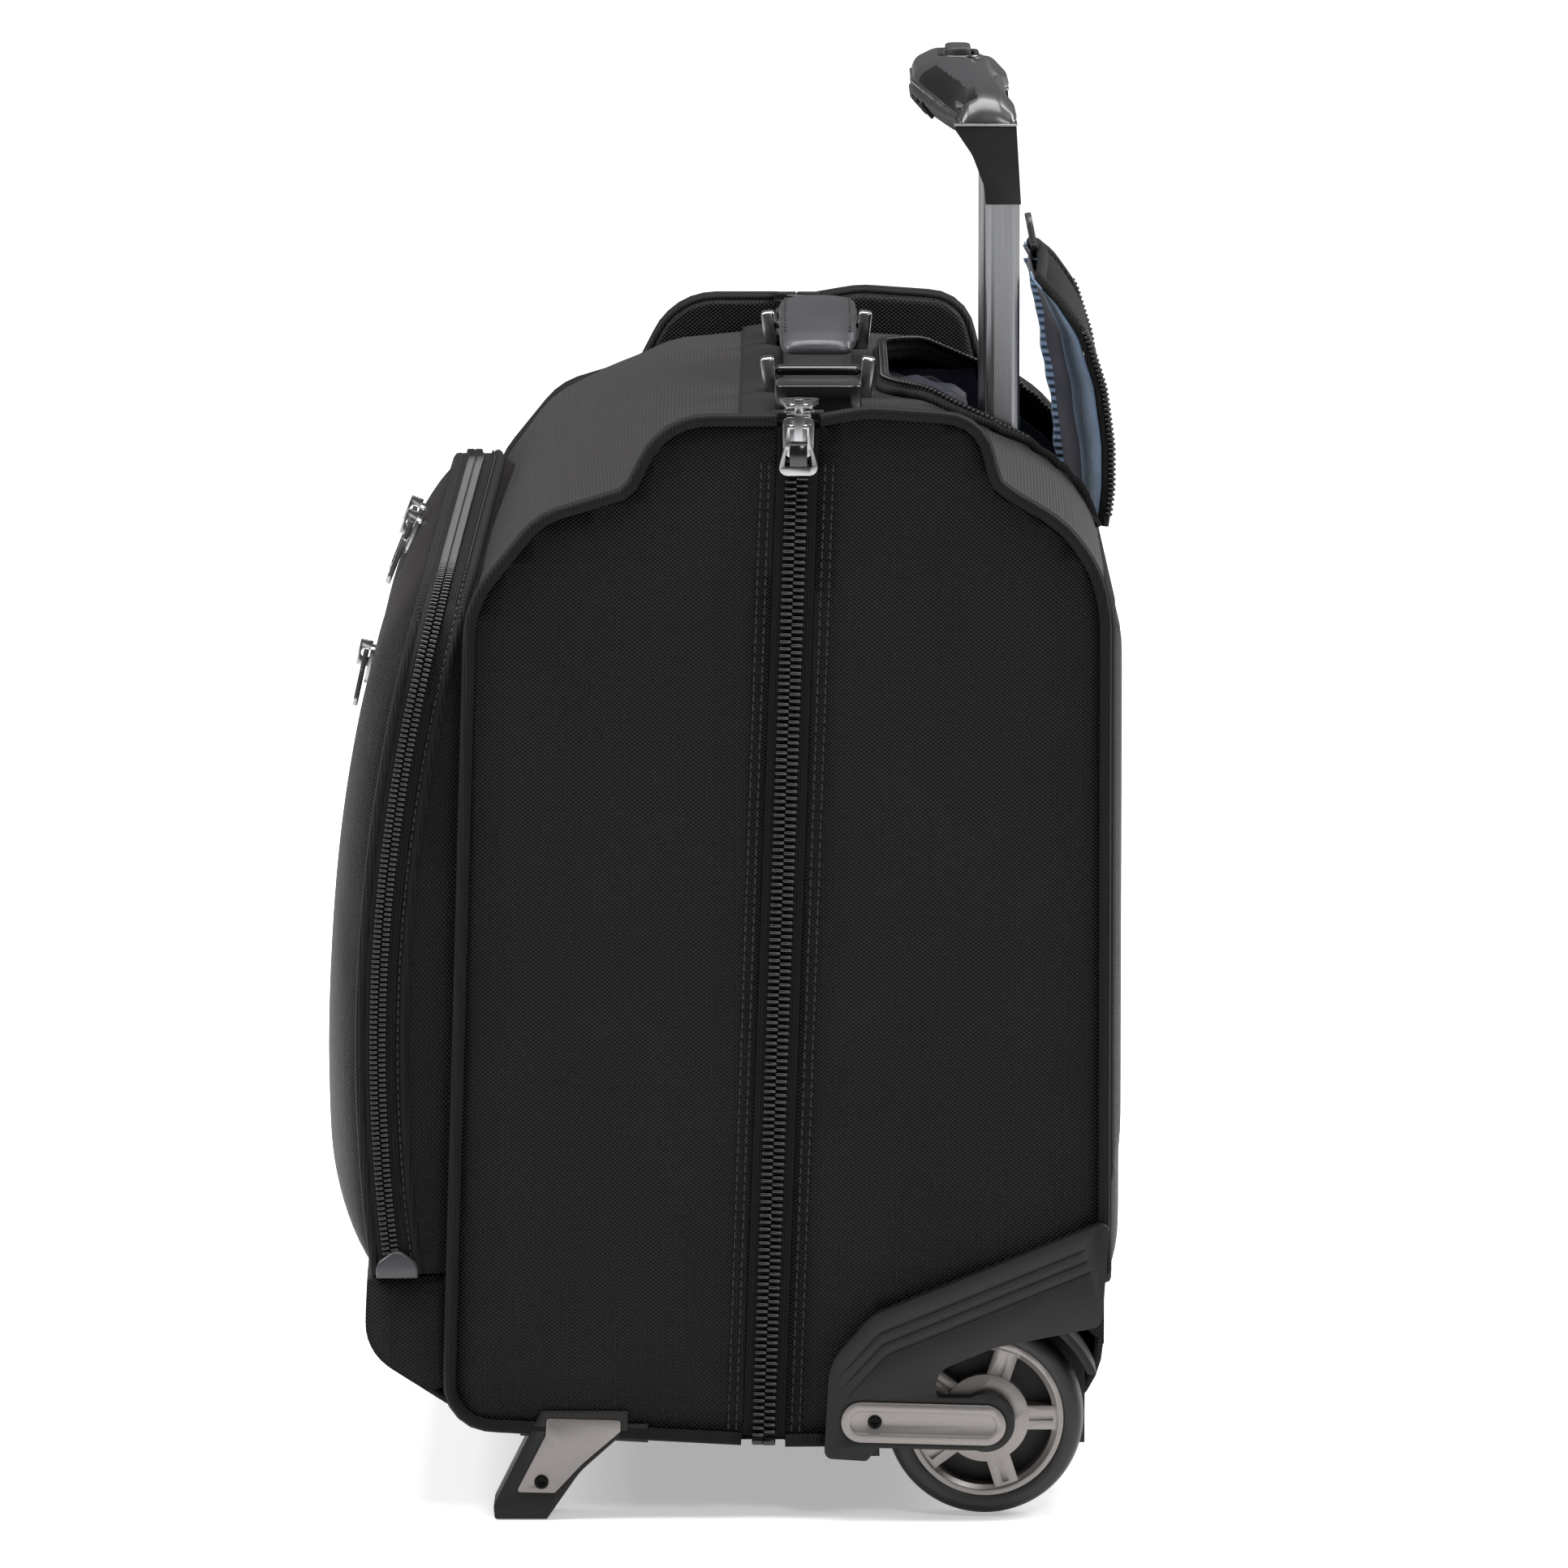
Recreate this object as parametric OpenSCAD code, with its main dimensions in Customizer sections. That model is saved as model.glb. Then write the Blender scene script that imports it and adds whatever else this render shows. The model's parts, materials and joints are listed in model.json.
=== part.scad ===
// Two-wheeled soft rolling flight case with a top fold, front pocket and telescoping handle.
// +Z is up, the front pocket faces -Y and the wheels stand at the back. Millimetres.

/* [Body] */
// Width between the outer faces of the two side panels
body_w = 544; // [500:2:600]
// Thickness of a padded wall
wall = 4; // [3:0.5:5]
// Height of the top panel above the ground
top_z = 406; // [402:1:408]
// Height of the side panels' raised ears
ear_z = 414; // [410:1:418]
// Thickness of an ear
ear_t = 12; // [8:1:16]
// Back face of the padded rear panel
back_y = 146; // [144:1:150]
// Lean of the main zip, rise of Y for each millimetre of height
zip_lean = 0.0344; // [0.02:0.001:0.04]
// Width left between the two halves for the zip, half of it on each side
zip_half_gap = 8; // [7:0.5:9]

/* [Front pocket] */
// How far the panel stands out past its zip
pocket_bulge = 13; // [8:1:16]
// Width of the pocket's gusset
pocket_w = 532; // [500:2:540]

/* [Wheels] */
// Outside radius of a tyre
tyre_r = 37.5; // [34:0.5:39]
// Width of a tyre
tyre_w = 22; // [18:1:24]
// Radius of an axle
axle_r = 4; // [3:0.5:5]
// Radial clearance between the axle and its bearing
bearing_gap = 0.05; // [0.02:0.01:0.08]

/* [Telescoping handle] */
// Distance between the centre lines of the two legs
leg_spacing = 200; // [180:2:206]
// Depth of the inner tube, front to back
tube_d = 12.8; // [11:0.2:14]
// Width of the inner tube
tube_w = 22; // [18:1:24]
// Wall of every tube
tube_wall = 1; // [0.8:0.1:1.2]
// Clearance between one tube and the next
tube_gap = 0.4; // [0.3:0.1:0.5]
// Height of the collars' lower edge in the stored pose
collar_z = 482; // [470:1:490]

/* [Carry handle] */
// Distance from the middle of the case to each bracket
bracket_x = 104; // [96:1:112]
// Width of the leather grip
grip_w = 32; // [28:1:34]

/* [Hidden] */
$fn = 48;

half_w = body_w / 2;
inner_half = half_w - wall;
zip_y0 = 10.3;
spine_front_y = 10;
seam_gap = 0.5;
base_z = 30;
wheel_y = 94.5;
wheel_x = half_w - 12;
axle_head_r = 6.5;
leg_y = 103;
rod_hole_r = 3.2;
recess_half = 122;
recess_floor = 334;
recess_y = [57, 132];
flap_hinge_z = 358;
outer_face_x = half_w + 9;
insert_t = 1.5;
foot_x = half_w + 3;
foot_t = 24;
pocket_low = 92;
pocket_high = 357;
handle_y = 32;
mid_w = tube_w + 2 * (tube_gap + tube_wall);
mid_d = tube_d + 2 * (tube_gap + tube_wall);
outer_w = mid_w + 2 * (tube_gap + tube_wall);
outer_d = mid_d + 2 * (tube_gap + tube_wall);

black = "#141416";
dark_grey = "#2a2a2c";
warm_grey = "#8c8580";
silver = "#c8c8c8";
navy = "#1c1e2c";

// ---- outlines: corners are [y, z, radius], turned into points with round corners ----
function unit(v) = v / norm(v);
function flat(p) = [p[0], p[1]];
function fillet(a, b, c, r, n) =
    r <= 0 ? [b] :
    let (u = unit(a - b), v = unit(c - b), half = acos(u * v) / 2, t = r / tan(half),
         centre = b + unit(u + v) * r / sin(half), p = b + u * t - centre, q = b + v * t - centre,
         turn = sign(p[0] * q[1] - p[1] * q[0]) * (180 - 2 * half))
    [for (i = [0:n]) let (w = turn * i / n)
        centre + [p[0] * cos(w) - p[1] * sin(w), p[0] * sin(w) + p[1] * cos(w)]];
function rounded(pts, n = 6) =
    let (k = len(pts))
    [for (i = [0:k - 1])
        each fillet(flat(pts[(i + k - 1) % k]), flat(pts[i]), flat(pts[(i + 1) % k]), pts[i][2], n)];
// Moves every side of a counter-clockwise outline inwards by d
function inset(pts, d) =
    let (k = len(pts))
    [for (i = [0:k - 1])
        let (b = flat(pts[i]), u = unit(flat(pts[(i + k - 1) % k]) - b),
             v = unit(flat(pts[(i + 1) % k]) - b), way = sign(v[0] * u[1] - v[1] * u[0]),
             p = b + way * unit(u + v) * d / sin(acos(u * v) / 2))
        [p[0], p[1], pts[i][2] > 0 ? max(pts[i][2] - way * d, 0.5) : 0]];
function zip_y(z) = zip_y0 + zip_lean * z;

// Sweeps a [y, z] outline along X, from x0 to x1
module along_x(x0, x1, pts) {
    translate([x0, 0, 0]) rotate([90, 0, 90]) linear_extrude(x1 - x0) polygon(pts);
}
// Sweeps an [x, z] outline along Y, from y0 to y1
module along_y(y0, y1, pts) {
    translate([0, y1, 0]) rotate([90, 0, 0]) linear_extrude(y1 - y0) polygon(pts);
}
module box(x0, x1, y0, y1, z0, z1) {
    translate([x0, y0, z0]) cube([x1 - x0, y1 - y0, z1 - z0]);
}
module both_sides() {
    children();
    mirror([1, 0, 0]) children();
}
module rounded_bar(w, d, r, z0, z1) {
    pts = rounded([[-w / 2, -d / 2, r], [w / 2, -d / 2, r], [w / 2, d / 2, r], [-w / 2, d / 2, r]], 4);
    translate([0, 0, z0]) linear_extrude(z1 - z0) polygon(pts);
}

// ---- rear half ----
rear_outline = [[zip_y(base_z) + zip_half_gap, base_z, 0], [139, base_z - 2, 34], [139, 370, 50],
    [80, 404, 20], [zip_y(top_z) + zip_half_gap, top_z, 0]];
rear_ear = [[zip_y(395) + zip_half_gap, 395, 0], [88, 385, 0], [84, ear_z - 2, 8], [50, ear_z + 1, 40],
    [zip_y(ear_z) + zip_half_gap, ear_z, 0]];
front_outline = [[-107, 36, 16], [zip_y(base_z) - zip_half_gap, base_z, 0],
    [zip_y(top_z) - zip_half_gap, top_z, 0], [-24, top_z - 1, 30], [-97.5, 356, 46]];
front_ear = [[-42, 384, 0], [zip_y(392) - zip_half_gap, 392, 0],
    [zip_y(ear_z) - zip_half_gap, ear_z, 0], [-28, ear_z - 4, 12]];

module wheel_well() {
    both_sides() translate([half_w - 34, 0, 0]) {
        translate([0, wheel_y, tyre_r]) rotate([0, 90, 0]) cylinder(r = tyre_r + 8, h = 60);
        box(0, 60, wheel_y - tyre_r - 8, wheel_y + tyre_r + 30, -10, tyre_r);
        translate([-6, wheel_y, tyre_r]) rotate([0, 90, 0]) cylinder(r = axle_head_r + 0.5, h = 7);
    }
}
module recess_cut() {
    box(-recess_half, recess_half, recess_y[0], recess_y[1], recess_floor, top_z + 20);
    box(-recess_half, recess_half, recess_y[0], 160, flap_hinge_z, top_z + 20);
}
module rear_shell() {
    inner = rounded(inset(rear_outline, wall));
    color(black) difference() {
        union() {
            along_x(-half_w, half_w, rounded(rear_outline));
            both_sides() along_x(half_w - ear_t, half_w, rounded(rear_ear));
        }
        along_x(-inner_half, inner_half, inner);
        translate([0, -2 * wall, 0]) along_x(-inner_half, inner_half, inner);
        wheel_well();
        recess_cut();
    }
}
module rear_panel() {
    w = half_w - 6;
    plan = rounded([[-w, 139.3, 0], [w, 139.3, 0], [w, back_y, 6], [-w, back_y, 6]], 4);
    color(black) difference() {
        translate([0, 0, 84]) linear_extrude(262) polygon(plan);
        both_sides() box(half_w - 40, half_w + 10, 130, 160, 0, 124);
    }
}
// A square-section stand-in for the bound edge: the outline's rim, proud of it and of the side panel
module piping(outline, keep) {
    both_sides() intersection() {
        difference() {
            along_x(half_w + 0.2, half_w + 3, rounded(inset(outline, -1.2)));
            along_x(half_w - 1, half_w + 4, rounded(inset(outline, 4)));
        }
        along_x(half_w - 1, half_w + 4, keep);
    }
}
module rear_piping() {
    color(dark_grey) piping(rear_outline, [[86, 110], [160, 120], [160, 386], [86, 386]]);
}
module spine() {
    color(black) box(-half_w + ear_t + 2, half_w - ear_t - 2, spine_front_y + seam_gap,
        zip_y(top_z - wall) + zip_half_gap, top_z - wall, top_z);
}
// One stringer: woven tape with half of the coil on its edge; side is -1 for front, 1 for rear
module stringer(side) {
    function strip(a, b, z0, z1) = [[zip_y(z0) + side * a, z0], [zip_y(z0) + side * b, z0],
        [zip_y(z1) + side * b, z1], [zip_y(z1) + side * a, z1]];
    low = base_z + wall + 0.9;
    high = top_z - wall - 1;
    both_sides() {
        along_x(inner_half - 1.6, inner_half, strip(0.5, 14, low, high));
        along_x(inner_half - 0.4, inner_half + 3, strip(0.4, 4.8, low - 3, high));
    }
    y = zip_y(base_z);
    box(-inner_half, inner_half, min(y + side * 0.5, y + side * 14), max(y + side * 0.5, y + side * 14),
        low, low + 1.4);
    box(-inner_half - 1, inner_half + 1, min(y + side * 0.5, y + side * 4.8),
        max(y + side * 0.5, y + side * 4.8), low - 3.4, low + 0.4);
}
module zip_stringer_rear() {
    color(dark_grey) stringer(1);
}
module rear_lining_panel() {
    color(navy) difference() {
        box(-262, 262, 84, 86, 90, 328);
        both_sides() box(half_w - 40, half_w, 80, 90, 0, 96);
    }
}
module garment_straps() {
    color(black) both_sides() {
        box(78, 103, 82, 83.6, 110, 310);
        translate([90.5, 79, 200]) difference() {
            box(-18, 18, 0, 2.8, -12, 12);
            box(-12, 12, -1, 4, -8, -3);
            box(-12, 12, -1, 4, 3, 8);
        }
    }
}

// ---- telescoping handle ----
module leg(side) {
    translate([side * leg_spacing / 2, leg_y, 0]) children();
}
module tube(w, d, z0, z1) {
    difference() {
        rounded_bar(w, d, 3, z0, z1);
        rounded_bar(w - 2 * tube_wall, d - 2 * tube_wall, 2, z0 - 1, z1 + 1);
    }
}
module tube_outer(side) {
    color(silver) leg(side) tube(outer_w, outer_d, 52, recess_floor - 1);
}
module tube_outer_left() tube_outer(-1);
module tube_outer_right() tube_outer(1);
module tube_foot_bracket() {
    color(dark_grey) difference() {
        box(-leg_spacing / 2 - 22, leg_spacing / 2 + 22, leg_y - 14, leg_y + 14, 36.2, 64);
        for (side = [-1, 1]) leg(side) rounded_bar(outer_w, outer_d, 3, 52, 70);
        box(-leg_spacing / 2 + 20, leg_spacing / 2 - 20, leg_y - 10, leg_y + 20, 46, 70);
    }
}
module top_bezel() {
    z0 = recess_floor + 3;
    color(black) difference() {
        translate([0, leg_y, 0]) rounded_bar(leg_spacing + 37, 30, 10, z0, z0 + 4);
        for (side = [-1, 1])
            leg(side) rounded_bar(mid_w + 2 * tube_gap, mid_d + 2 * tube_gap, 3, z0 - 1, z0 + 5);
        translate([0, leg_y, 0]) rounded_bar(leg_spacing - 60, 14, 5, z0 - 1, z0 + 5);
    }
}
module tube_mid(side) {
    color(silver) leg(side) tube(mid_w, mid_d, 54, recess_floor + 6);
}
module tube_mid_left() tube_mid(-1);
module tube_mid_right() tube_mid(1);
module tube_inner(side) {
    color(silver) leg(side) difference() {
        tube(tube_w, tube_d, 196, collar_z + 6);
        translate([0, 0, 206]) rotate([-90, 0, 0]) cylinder(r = 2.1, h = tube_d);
    }
}
module tube_inner_left() tube_inner(-1);
module tube_inner_right() tube_inner(1);

// Side profile of the grip, in [y, z] measured from the collars' lower edge and the tube's centre line
collar_outline = [[-6.8, 0, 0], [6.8, 0, 0], [5, 30, 0], [-19.5, 30, 1], [-12, 19, 18], [-7.4, 7, 12]];
grip_outline = [[-20, 31, 3], [5, 31, 0], [3, 41, 8], [-6, 49, 12], [-26, 53, 9], [-36, 43, 5]];
underside_outline = [[-20.5, 30.6, 0], [-36.6, 42.6, 0], [-35, 34, 2], [-27, 28, 4]];
grip_half = leg_spacing / 2 + 17;
underside_half = leg_spacing / 2 - 28;
button_y = leg_y - 16;
function placed(pts) = [for (p = pts) [p[0] + leg_y, p[1] + collar_z, p[2]]];
module grip_collars() {
    color(dark_grey) difference() {
        both_sides() along_x(leg_spacing / 2 - 15, leg_spacing / 2 + 15, rounded(placed(collar_outline)));
        for (side = [-1, 1]) leg(side) rounded_bar(tube_w, tube_d, 3, collar_z - 5, collar_z + 6);
        for (side = [-1, 1]) leg(side) cylinder(r = rod_hole_r, h = 700);
    }
}
// The bar bows forwards and upwards between the legs: plan and elevation as [x, y] and [x, z]
module grip_bow(spare) {
    plan = [[grip_half + 1, 10], [grip_half + 1, -19.5 - spare], [84, -20.5 - spare], [28, -38],
        [-28, -38], [-84, -20.5 - spare], [-grip_half - 1, -19.5 - spare], [-grip_half - 1, 10]];
    rise = [[grip_half + 1, 20], [grip_half + 1, 38], [100, 43.5], [60, 49.5], [25, 54], [-25, 54], [-60, 49.5],
        [-100, 43.5], [-grip_half - 1, 38], [-grip_half - 1, 20]];
    intersection() {
        children();
        translate([0, leg_y, collar_z]) linear_extrude(60) polygon(plan);
        along_y(leg_y - 50, leg_y + 20, [for (p = rise) [p[0], p[1] + collar_z]]);
    }
}
module grip_top() {
    color(dark_grey) difference() {
        grip_bow(0) along_x(-grip_half, grip_half, rounded(placed(grip_outline), 8));
        translate([0, button_y, collar_z + 36.5]) button_bar(1, 24);
        along_x(-leg_spacing / 2 - 4, leg_spacing / 2 + 4,
            rounded(placed([[-21, 32.1, 0], [2.6, 32.1, 0], [2.6, 37.8, 0], [-21, 37.8, 0]])));
        for (side = [-1, 1]) leg(side) cylinder(r = rod_hole_r, h = collar_z + 35);
    }
}
module grip_underside() {
    color(black) grip_bow(1)
        along_x(-underside_half, underside_half, rounded(placed(underside_outline), 4));
}
module grip_trim() {
    color(silver) both_sides() difference() {
        along_x(leg_spacing / 2 - 16, leg_spacing / 2 + 16,
            rounded(placed([[-19, 30.1, 0], [5.4, 30.1, 0], [5.4, 30.9, 0], [-19, 30.9, 0]])));
        leg(1) cylinder(r = rod_hole_r, h = collar_z + 40);
    }
}
module button_bar(grow, h) {
    rounded_bar(34 + grow, 10 + grow, 4.8 + grow / 2, 0, h);
}
module release_button() {
    color(black) translate([0, button_y, collar_z + 41.5]) button_bar(0, 12.3);
}
// The yoke runs inside the grip and carries one rod down each leg
module release_rods() {
    color(silver) {
        box(-leg_spacing / 2 - 2.5, leg_spacing / 2 + 2.5, button_y - 2, leg_y + 2.2, collar_z + 36.4,
            collar_z + 37.4);
        box(-6, 6, button_y - 2, button_y + 2, collar_z + 37, collar_z + 41.5);
        for (side = [-1, 1]) leg(side) translate([0, 0, 216]) cylinder(r = 2.2, h = collar_z + 36.6 - 216);
    }
}
module lock_pins() {
    color(silver) for (side = [-1, 1]) leg(side) translate([0, 0, 206]) rotate([-90, 0, 0])
        cylinder(r = 2, h = tube_d / 2 - 0.1);
}

// ---- wheels ----
housing_outline = [[34, 24, 3], [50, 23, 2], [54, 28, 3], [wheel_y, 27, 0], [wheel_y, 47, 0], [76, 47, 2],
    [76, 57, 8], [98, 66, 24], [138, 74, 5], [141, 114, 3], [128, 109, 12], [52, 78, 18], [36, 60, 20]];
module housing_groove(d) {
    pts = [[128, 109, 12], [52, 78, 18], [36, 60, 20]];
    low = [for (p = pts) [p[0] + d * 0.35, p[1] - d, p[2]]];
    along_x(outer_face_x - 0.6, outer_face_x + 1, concat(
        fillet(flat([150, 112 - d]), flat(low[0]), flat(low[1]), 12, 4),
        fillet(flat(low[0]), flat(low[1]), flat(low[2]), 18, 6),
        [[low[2][0] + 0.9, low[2][1]], [low[1][0] + 0.7, low[1][1] - 1], [low[0][0], low[0][1] - 1]]));
}
module insert_slot(grow, x0, x1) {
    translate([x0, 0, 0]) rotate([90, 0, 90]) linear_extrude(x1 - x0) {
        translate([48, 37.9]) circle(r = 7.6 + grow);
        translate([wheel_y, 36.7]) circle(r = 7.6 + grow);
        polygon([[48, 30.3 - grow], [wheel_y, 29.1 - grow], [wheel_y, 44.3 + grow], [48, 45.5 + grow]]);
    }
}
module housing() {
    color(black) difference() {
        union() {
            along_x(half_w + 0.3, outer_face_x, rounded(housing_outline));
            translate([half_w + 0.3, wheel_y, tyre_r]) rotate([0, 90, 0]) cylinder(r = 11, h = 8.7);
            translate([half_w - 33.5, wheel_y, tyre_r]) rotate([0, 90, 0]) difference() {
                cylinder(r = tyre_r + 7.5, h = 33.8);
                translate([0, 0, 3]) cylinder(r = tyre_r + 4.5, h = 40);
                box(14, 80, -60, 60, -1, 50);
                box(-17, 80, tyre_r + 0.5, 60, -1, 50);
            }
        }
        for (d = [6, 10, 14]) housing_groove(d);
        insert_slot(0.2, outer_face_x - 1.2, outer_face_x + 5);
        translate([half_w - 60, wheel_y, tyre_r]) rotate([0, 90, 0]) cylinder(r = axle_r, h = 68);
        translate([0, 53, 38]) rotate([0, 90, 0]) cylinder(r = 1.6, h = 600);
    }
}
module wheel_housing_left() mirror([1, 0, 0]) housing();
module wheel_housing_right() housing();
module housing_inserts() {
    color(warm_grey) both_sides() difference() {
        insert_slot(0, outer_face_x - 1.1, outer_face_x + insert_t);
        insert_slot(-3.4, outer_face_x + 0.9, outer_face_x + 5);
        translate([0, 53, 38]) rotate([0, 90, 0]) cylinder(r = 1.6, h = 600);
    }
}
module screw(length) {
    difference() {
        union() {
            cylinder(r = 1.55, h = length);
            translate([0, 0, length]) cylinder(r1 = 2.7, r2 = 2.3, h = 1);
        }
        translate([0, 0, length + 0.7]) for (a = [0, 90]) rotate(a) cube([3.2, 0.7, 1.2], center = true);
    }
}
module housing_screws() {
    color(dark_grey) both_sides() translate([outer_face_x - 7.1, 53, 38]) rotate([0, 90, 0]) screw(8);
}
module axles() {
    color(silver) both_sides() translate([half_w - 36, wheel_y, tyre_r]) rotate([0, 90, 0]) {
        cylinder(r = axle_r, h = 43.5);
        translate([0, 0, -2.2]) cylinder(r = axle_head_r, h = 4.4);
    }
}
module wheel_place(side) {
    translate([side * wheel_x, wheel_y, tyre_r]) rotate([0, side * 90, 0]) children();
}
module tyre(side) {
    h = tyre_w / 2;
    color(dark_grey) wheel_place(side) rotate_extrude($fn = 96)
        polygon(rounded([[29.4, -h + 1, 0], [tyre_r - 2, -h, 4], [tyre_r, 0, 18], [tyre_r - 2, h, 4],
            [29.4, h - 1, 0]], 5));
}
module tyre_left() tyre(-1);
module tyre_right() tyre(1);
module rim(side) {
    spokes = 5;
    spoke_w = 9;
    hub_r = 16.5;
    face = tyre_w / 2 - 1.5;
    color(warm_grey) wheel_place(side) difference() {
        union() {
            rotate_extrude($fn = 96) polygon([[25.6, -face + 1], [29.4, -face], [29.4, face], [27.4, face],
                [27.4, face - 1], [25.6, face - 1.6]]);
            cylinder(r = hub_r, h = 2 * face, center = true);
            for (i = [0:spokes - 1]) rotate(i * 360 / spokes + 18) difference() {
                translate([hub_r - 1, -spoke_w / 2, -face + 2]) cube([27.6 - hub_r, spoke_w, 2 * face - 3]);
                translate([hub_r - 2, -1.1, face - 2.2]) cube([27.5 - hub_r, 2.2, 3]);
            }
        }
        cylinder(r = 8, h = 60, center = true);
    }
}
module rim_left() rim(-1);
module rim_right() rim(1);
module bearings(side) {
    color(silver) wheel_place(side) for (z = [-8.5, 3.5]) translate([0, 0, z]) difference() {
        cylinder(r = 8, h = 5);
        translate([0, 0, -1]) cylinder(r = axle_r + bearing_gap, h = 7);
    }
}
module bearings_left() bearings(-1);
module bearings_right() bearings(1);

// ---- front half ----
module front_shell() {
    inner = rounded(inset(front_outline, wall));
    color(black) difference() {
        union() {
            along_x(-half_w, half_w, rounded(front_outline));
            both_sides() along_x(half_w - ear_t, half_w, rounded(front_ear));
        }
        along_x(-inner_half, inner_half, inner);
        translate([0, 2 * wall, 0]) along_x(-inner_half, inner_half, inner);
        box(-half_w + ear_t, half_w - ear_t, spine_front_y, 60, 390, 440);
    }
}
module front_piping() {
    color(dark_grey) difference() {
        piping(front_outline, [[-130, 20], [-2, 20], [-2, 60], [-84, 60], [-84, 330], [-42, 376], [-42, 420],
            [-130, 420]]);
        box(-half_w - 9, half_w + 9, -80.5, -31.5, 20, 44);
    }
}
module zip_stringer_front() {
    color(dark_grey) stringer(-1);
}
module front_lining_panel() {
    color(navy) along_x(-262, 262, [[-98, 60], [-96, 60], [-90, 330], [-92, 330]]);
}
function pocket_line(z) = -138 + 0.000815 * (z - 175) * (z - 175);
function shell_front(z) = -107 + (z - 36) * 9.5 / 320;
pocket_steps = 14;
function pocket_z(i) = pocket_low + (pocket_high - pocket_low) * i / pocket_steps;
module pocket_gusset() {
    edge = [for (i = [pocket_steps:-1:0]) [pocket_line(pocket_z(i)), pocket_z(i)]];
    cut = [for (i = [pocket_steps:-1:0])
        [pocket_line(pocket_z(i)) - 5, pocket_low + 3 + (pocket_high - pocket_low - 7) * i / pocket_steps]];
    color(black) difference() {
        along_x(-pocket_w / 2, pocket_w / 2,
            concat([[shell_front(pocket_low) - 0.4, pocket_low], [shell_front(346) - 0.4, 346]], edge));
        along_x(-pocket_w / 2 + 3, pocket_w / 2 - 3,
            concat([[-60, pocket_low + 3], [-60, pocket_high - 14]], cut));
    }
}
module kick_panel() {
    outline = [[shell_front(90.5) - 0.4, 90.5, 0], [-137, 90.5, 3], [-137, 62, 18], [-108, 43, 6]];
    inner = rounded(inset(outline, wall));
    color(black) difference() {
        along_x(-pocket_w / 2, pocket_w / 2, rounded(outline));
        along_x(-pocket_w / 2 + wall, pocket_w / 2 - wall, inner);
        translate([2 * wall, wall + 1, 0]) along_x(-pocket_w / 2 + 2 * wall, pocket_w / 2 - 4 * wall, inner);
    }
}
module pocket_panel() {
    w = pocket_w / 2 - 4;
    edge = [for (i = [pocket_steps:-1:0]) [pocket_line(pocket_z(i)) - 0.5, pocket_z(i)]];
    front = [for (i = [0:pocket_steps]) [panel_face(pocket_z(i)), pocket_z(i)]];
    core = [for (i = [2:pocket_steps - 2]) [panel_face(pocket_z(i)) + wall, pocket_z(i)]];
    color(black) difference() {
        along_x(-w, w, concat(edge, front));
        along_x(-w + wall, w - wall, concat(core, [[-90, pocket_z(pocket_steps - 2)], [-90, pocket_z(2)]]));
    }
}
foot_outline = [[-72, 41, 1], [-90, 5, 2], [-89.6, 0, 1], [-70, 0, 1], [-57.5, 18, 30], [-39.6, 34, 1],
    [-39.6, 41, 0]];
insert_outline = [[-70, 38.2, 1], [-70.4, 31.8, 3], [-81.5, 10.3, 1], [-67, 10, 1], [-56.8, 20.9, 20],
    [-42.3, 33.3, 1], [-42.3, 37.5, 1]];
function shell_bottom(y) = 36 - (y + 107) * 6 / (zip_y(base_z) - zip_half_gap + 107);
module feet() {
    color(black) both_sides() difference() {
        union() {
            along_x(foot_x - foot_t, foot_x, rounded(foot_outline));
            along_x(foot_x - foot_t - 6, foot_x - 1, [[-80, shell_bottom(-80) - 3], [-32, shell_bottom(-32) - 3],
                [-32, 36], [-80, 36]]);
        }
        along_x(foot_x - foot_t - 10, half_w + 0.3, [[-120, shell_bottom(-120) - 0.3],
            [0, shell_bottom(0) - 0.3], [0, 60], [-120, 60]]);
        along_x(foot_x - 1, foot_x + 5, rounded(insert_outline));
        translate([0, -72, 14.2]) rotate([0, 90, 0]) cylinder(r = 1.6, h = 600);
    }
}
module foot_inserts() {
    color(warm_grey) both_sides() difference() {
        along_x(foot_x - 1, foot_x + 0.6, rounded(insert_outline));
        translate([0, -72, 14.2]) rotate([0, 90, 0]) cylinder(r = 1.6, h = 600);
    }
}
module foot_screws() {
    color(dark_grey) both_sides() translate([foot_x - 7.3, -72, 14.2]) rotate([0, 90, 0]) screw(8);
}

// ---- sliders and pulls: drawn lying in the XY plane, the pull hanging towards -Y ----
module slider() {
    difference() {
        linear_extrude(2.4) polygon(rounded([[-5.5, -8, 3], [5.5, -8, 3], [6, 7, 2.5], [-6, 7, 2.5]], 4));
        translate([0, -8, 1.6]) cylinder(r = 1.5, h = 3);
    }
    translate([0, 3.5, 2]) difference() {
        box(-1.6, 1.6, -5, 5, 0, 5);
        translate([-3, 0, 2]) rotate([0, 90, 0]) cylinder(r = 2, h = 6);
    }
}
// A tapered frame with a window, hung from a ring whose pin is at the origin
module pull(length) {
    rotate([0, 90, 0]) cylinder(r = 1.1, h = 8, center = true);
    for (side = [-1, 1]) translate([side * 4 - 0.8, -7, -1]) cube([1.6, 8, 2]);
    translate([0, 0, -1]) linear_extrude(2) difference() {
        polygon(rounded([[-5, -6, 1], [-8, -length, 3], [8, -length, 3], [5, -6, 1]], 4));
        polygon(rounded([[-4.6, 10 - length, 1], [-5.2, 3 - length, 1], [5.2, 3 - length, 1],
            [4.6, 10 - length, 1]], 3));
    }
}
pull_l = 25;
side_pull_l = 18;
side_slider_z = 408;
module on_side(z) {
    translate([half_w, zip_y(z), z]) rotate([90, 0, 90]) children();
}
module main_slider_side() color(silver) on_side(side_slider_z) slider();
module main_pull_side() color(silver) on_side(side_slider_z) translate([0, 3.5, 4]) pull(side_pull_l);
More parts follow.
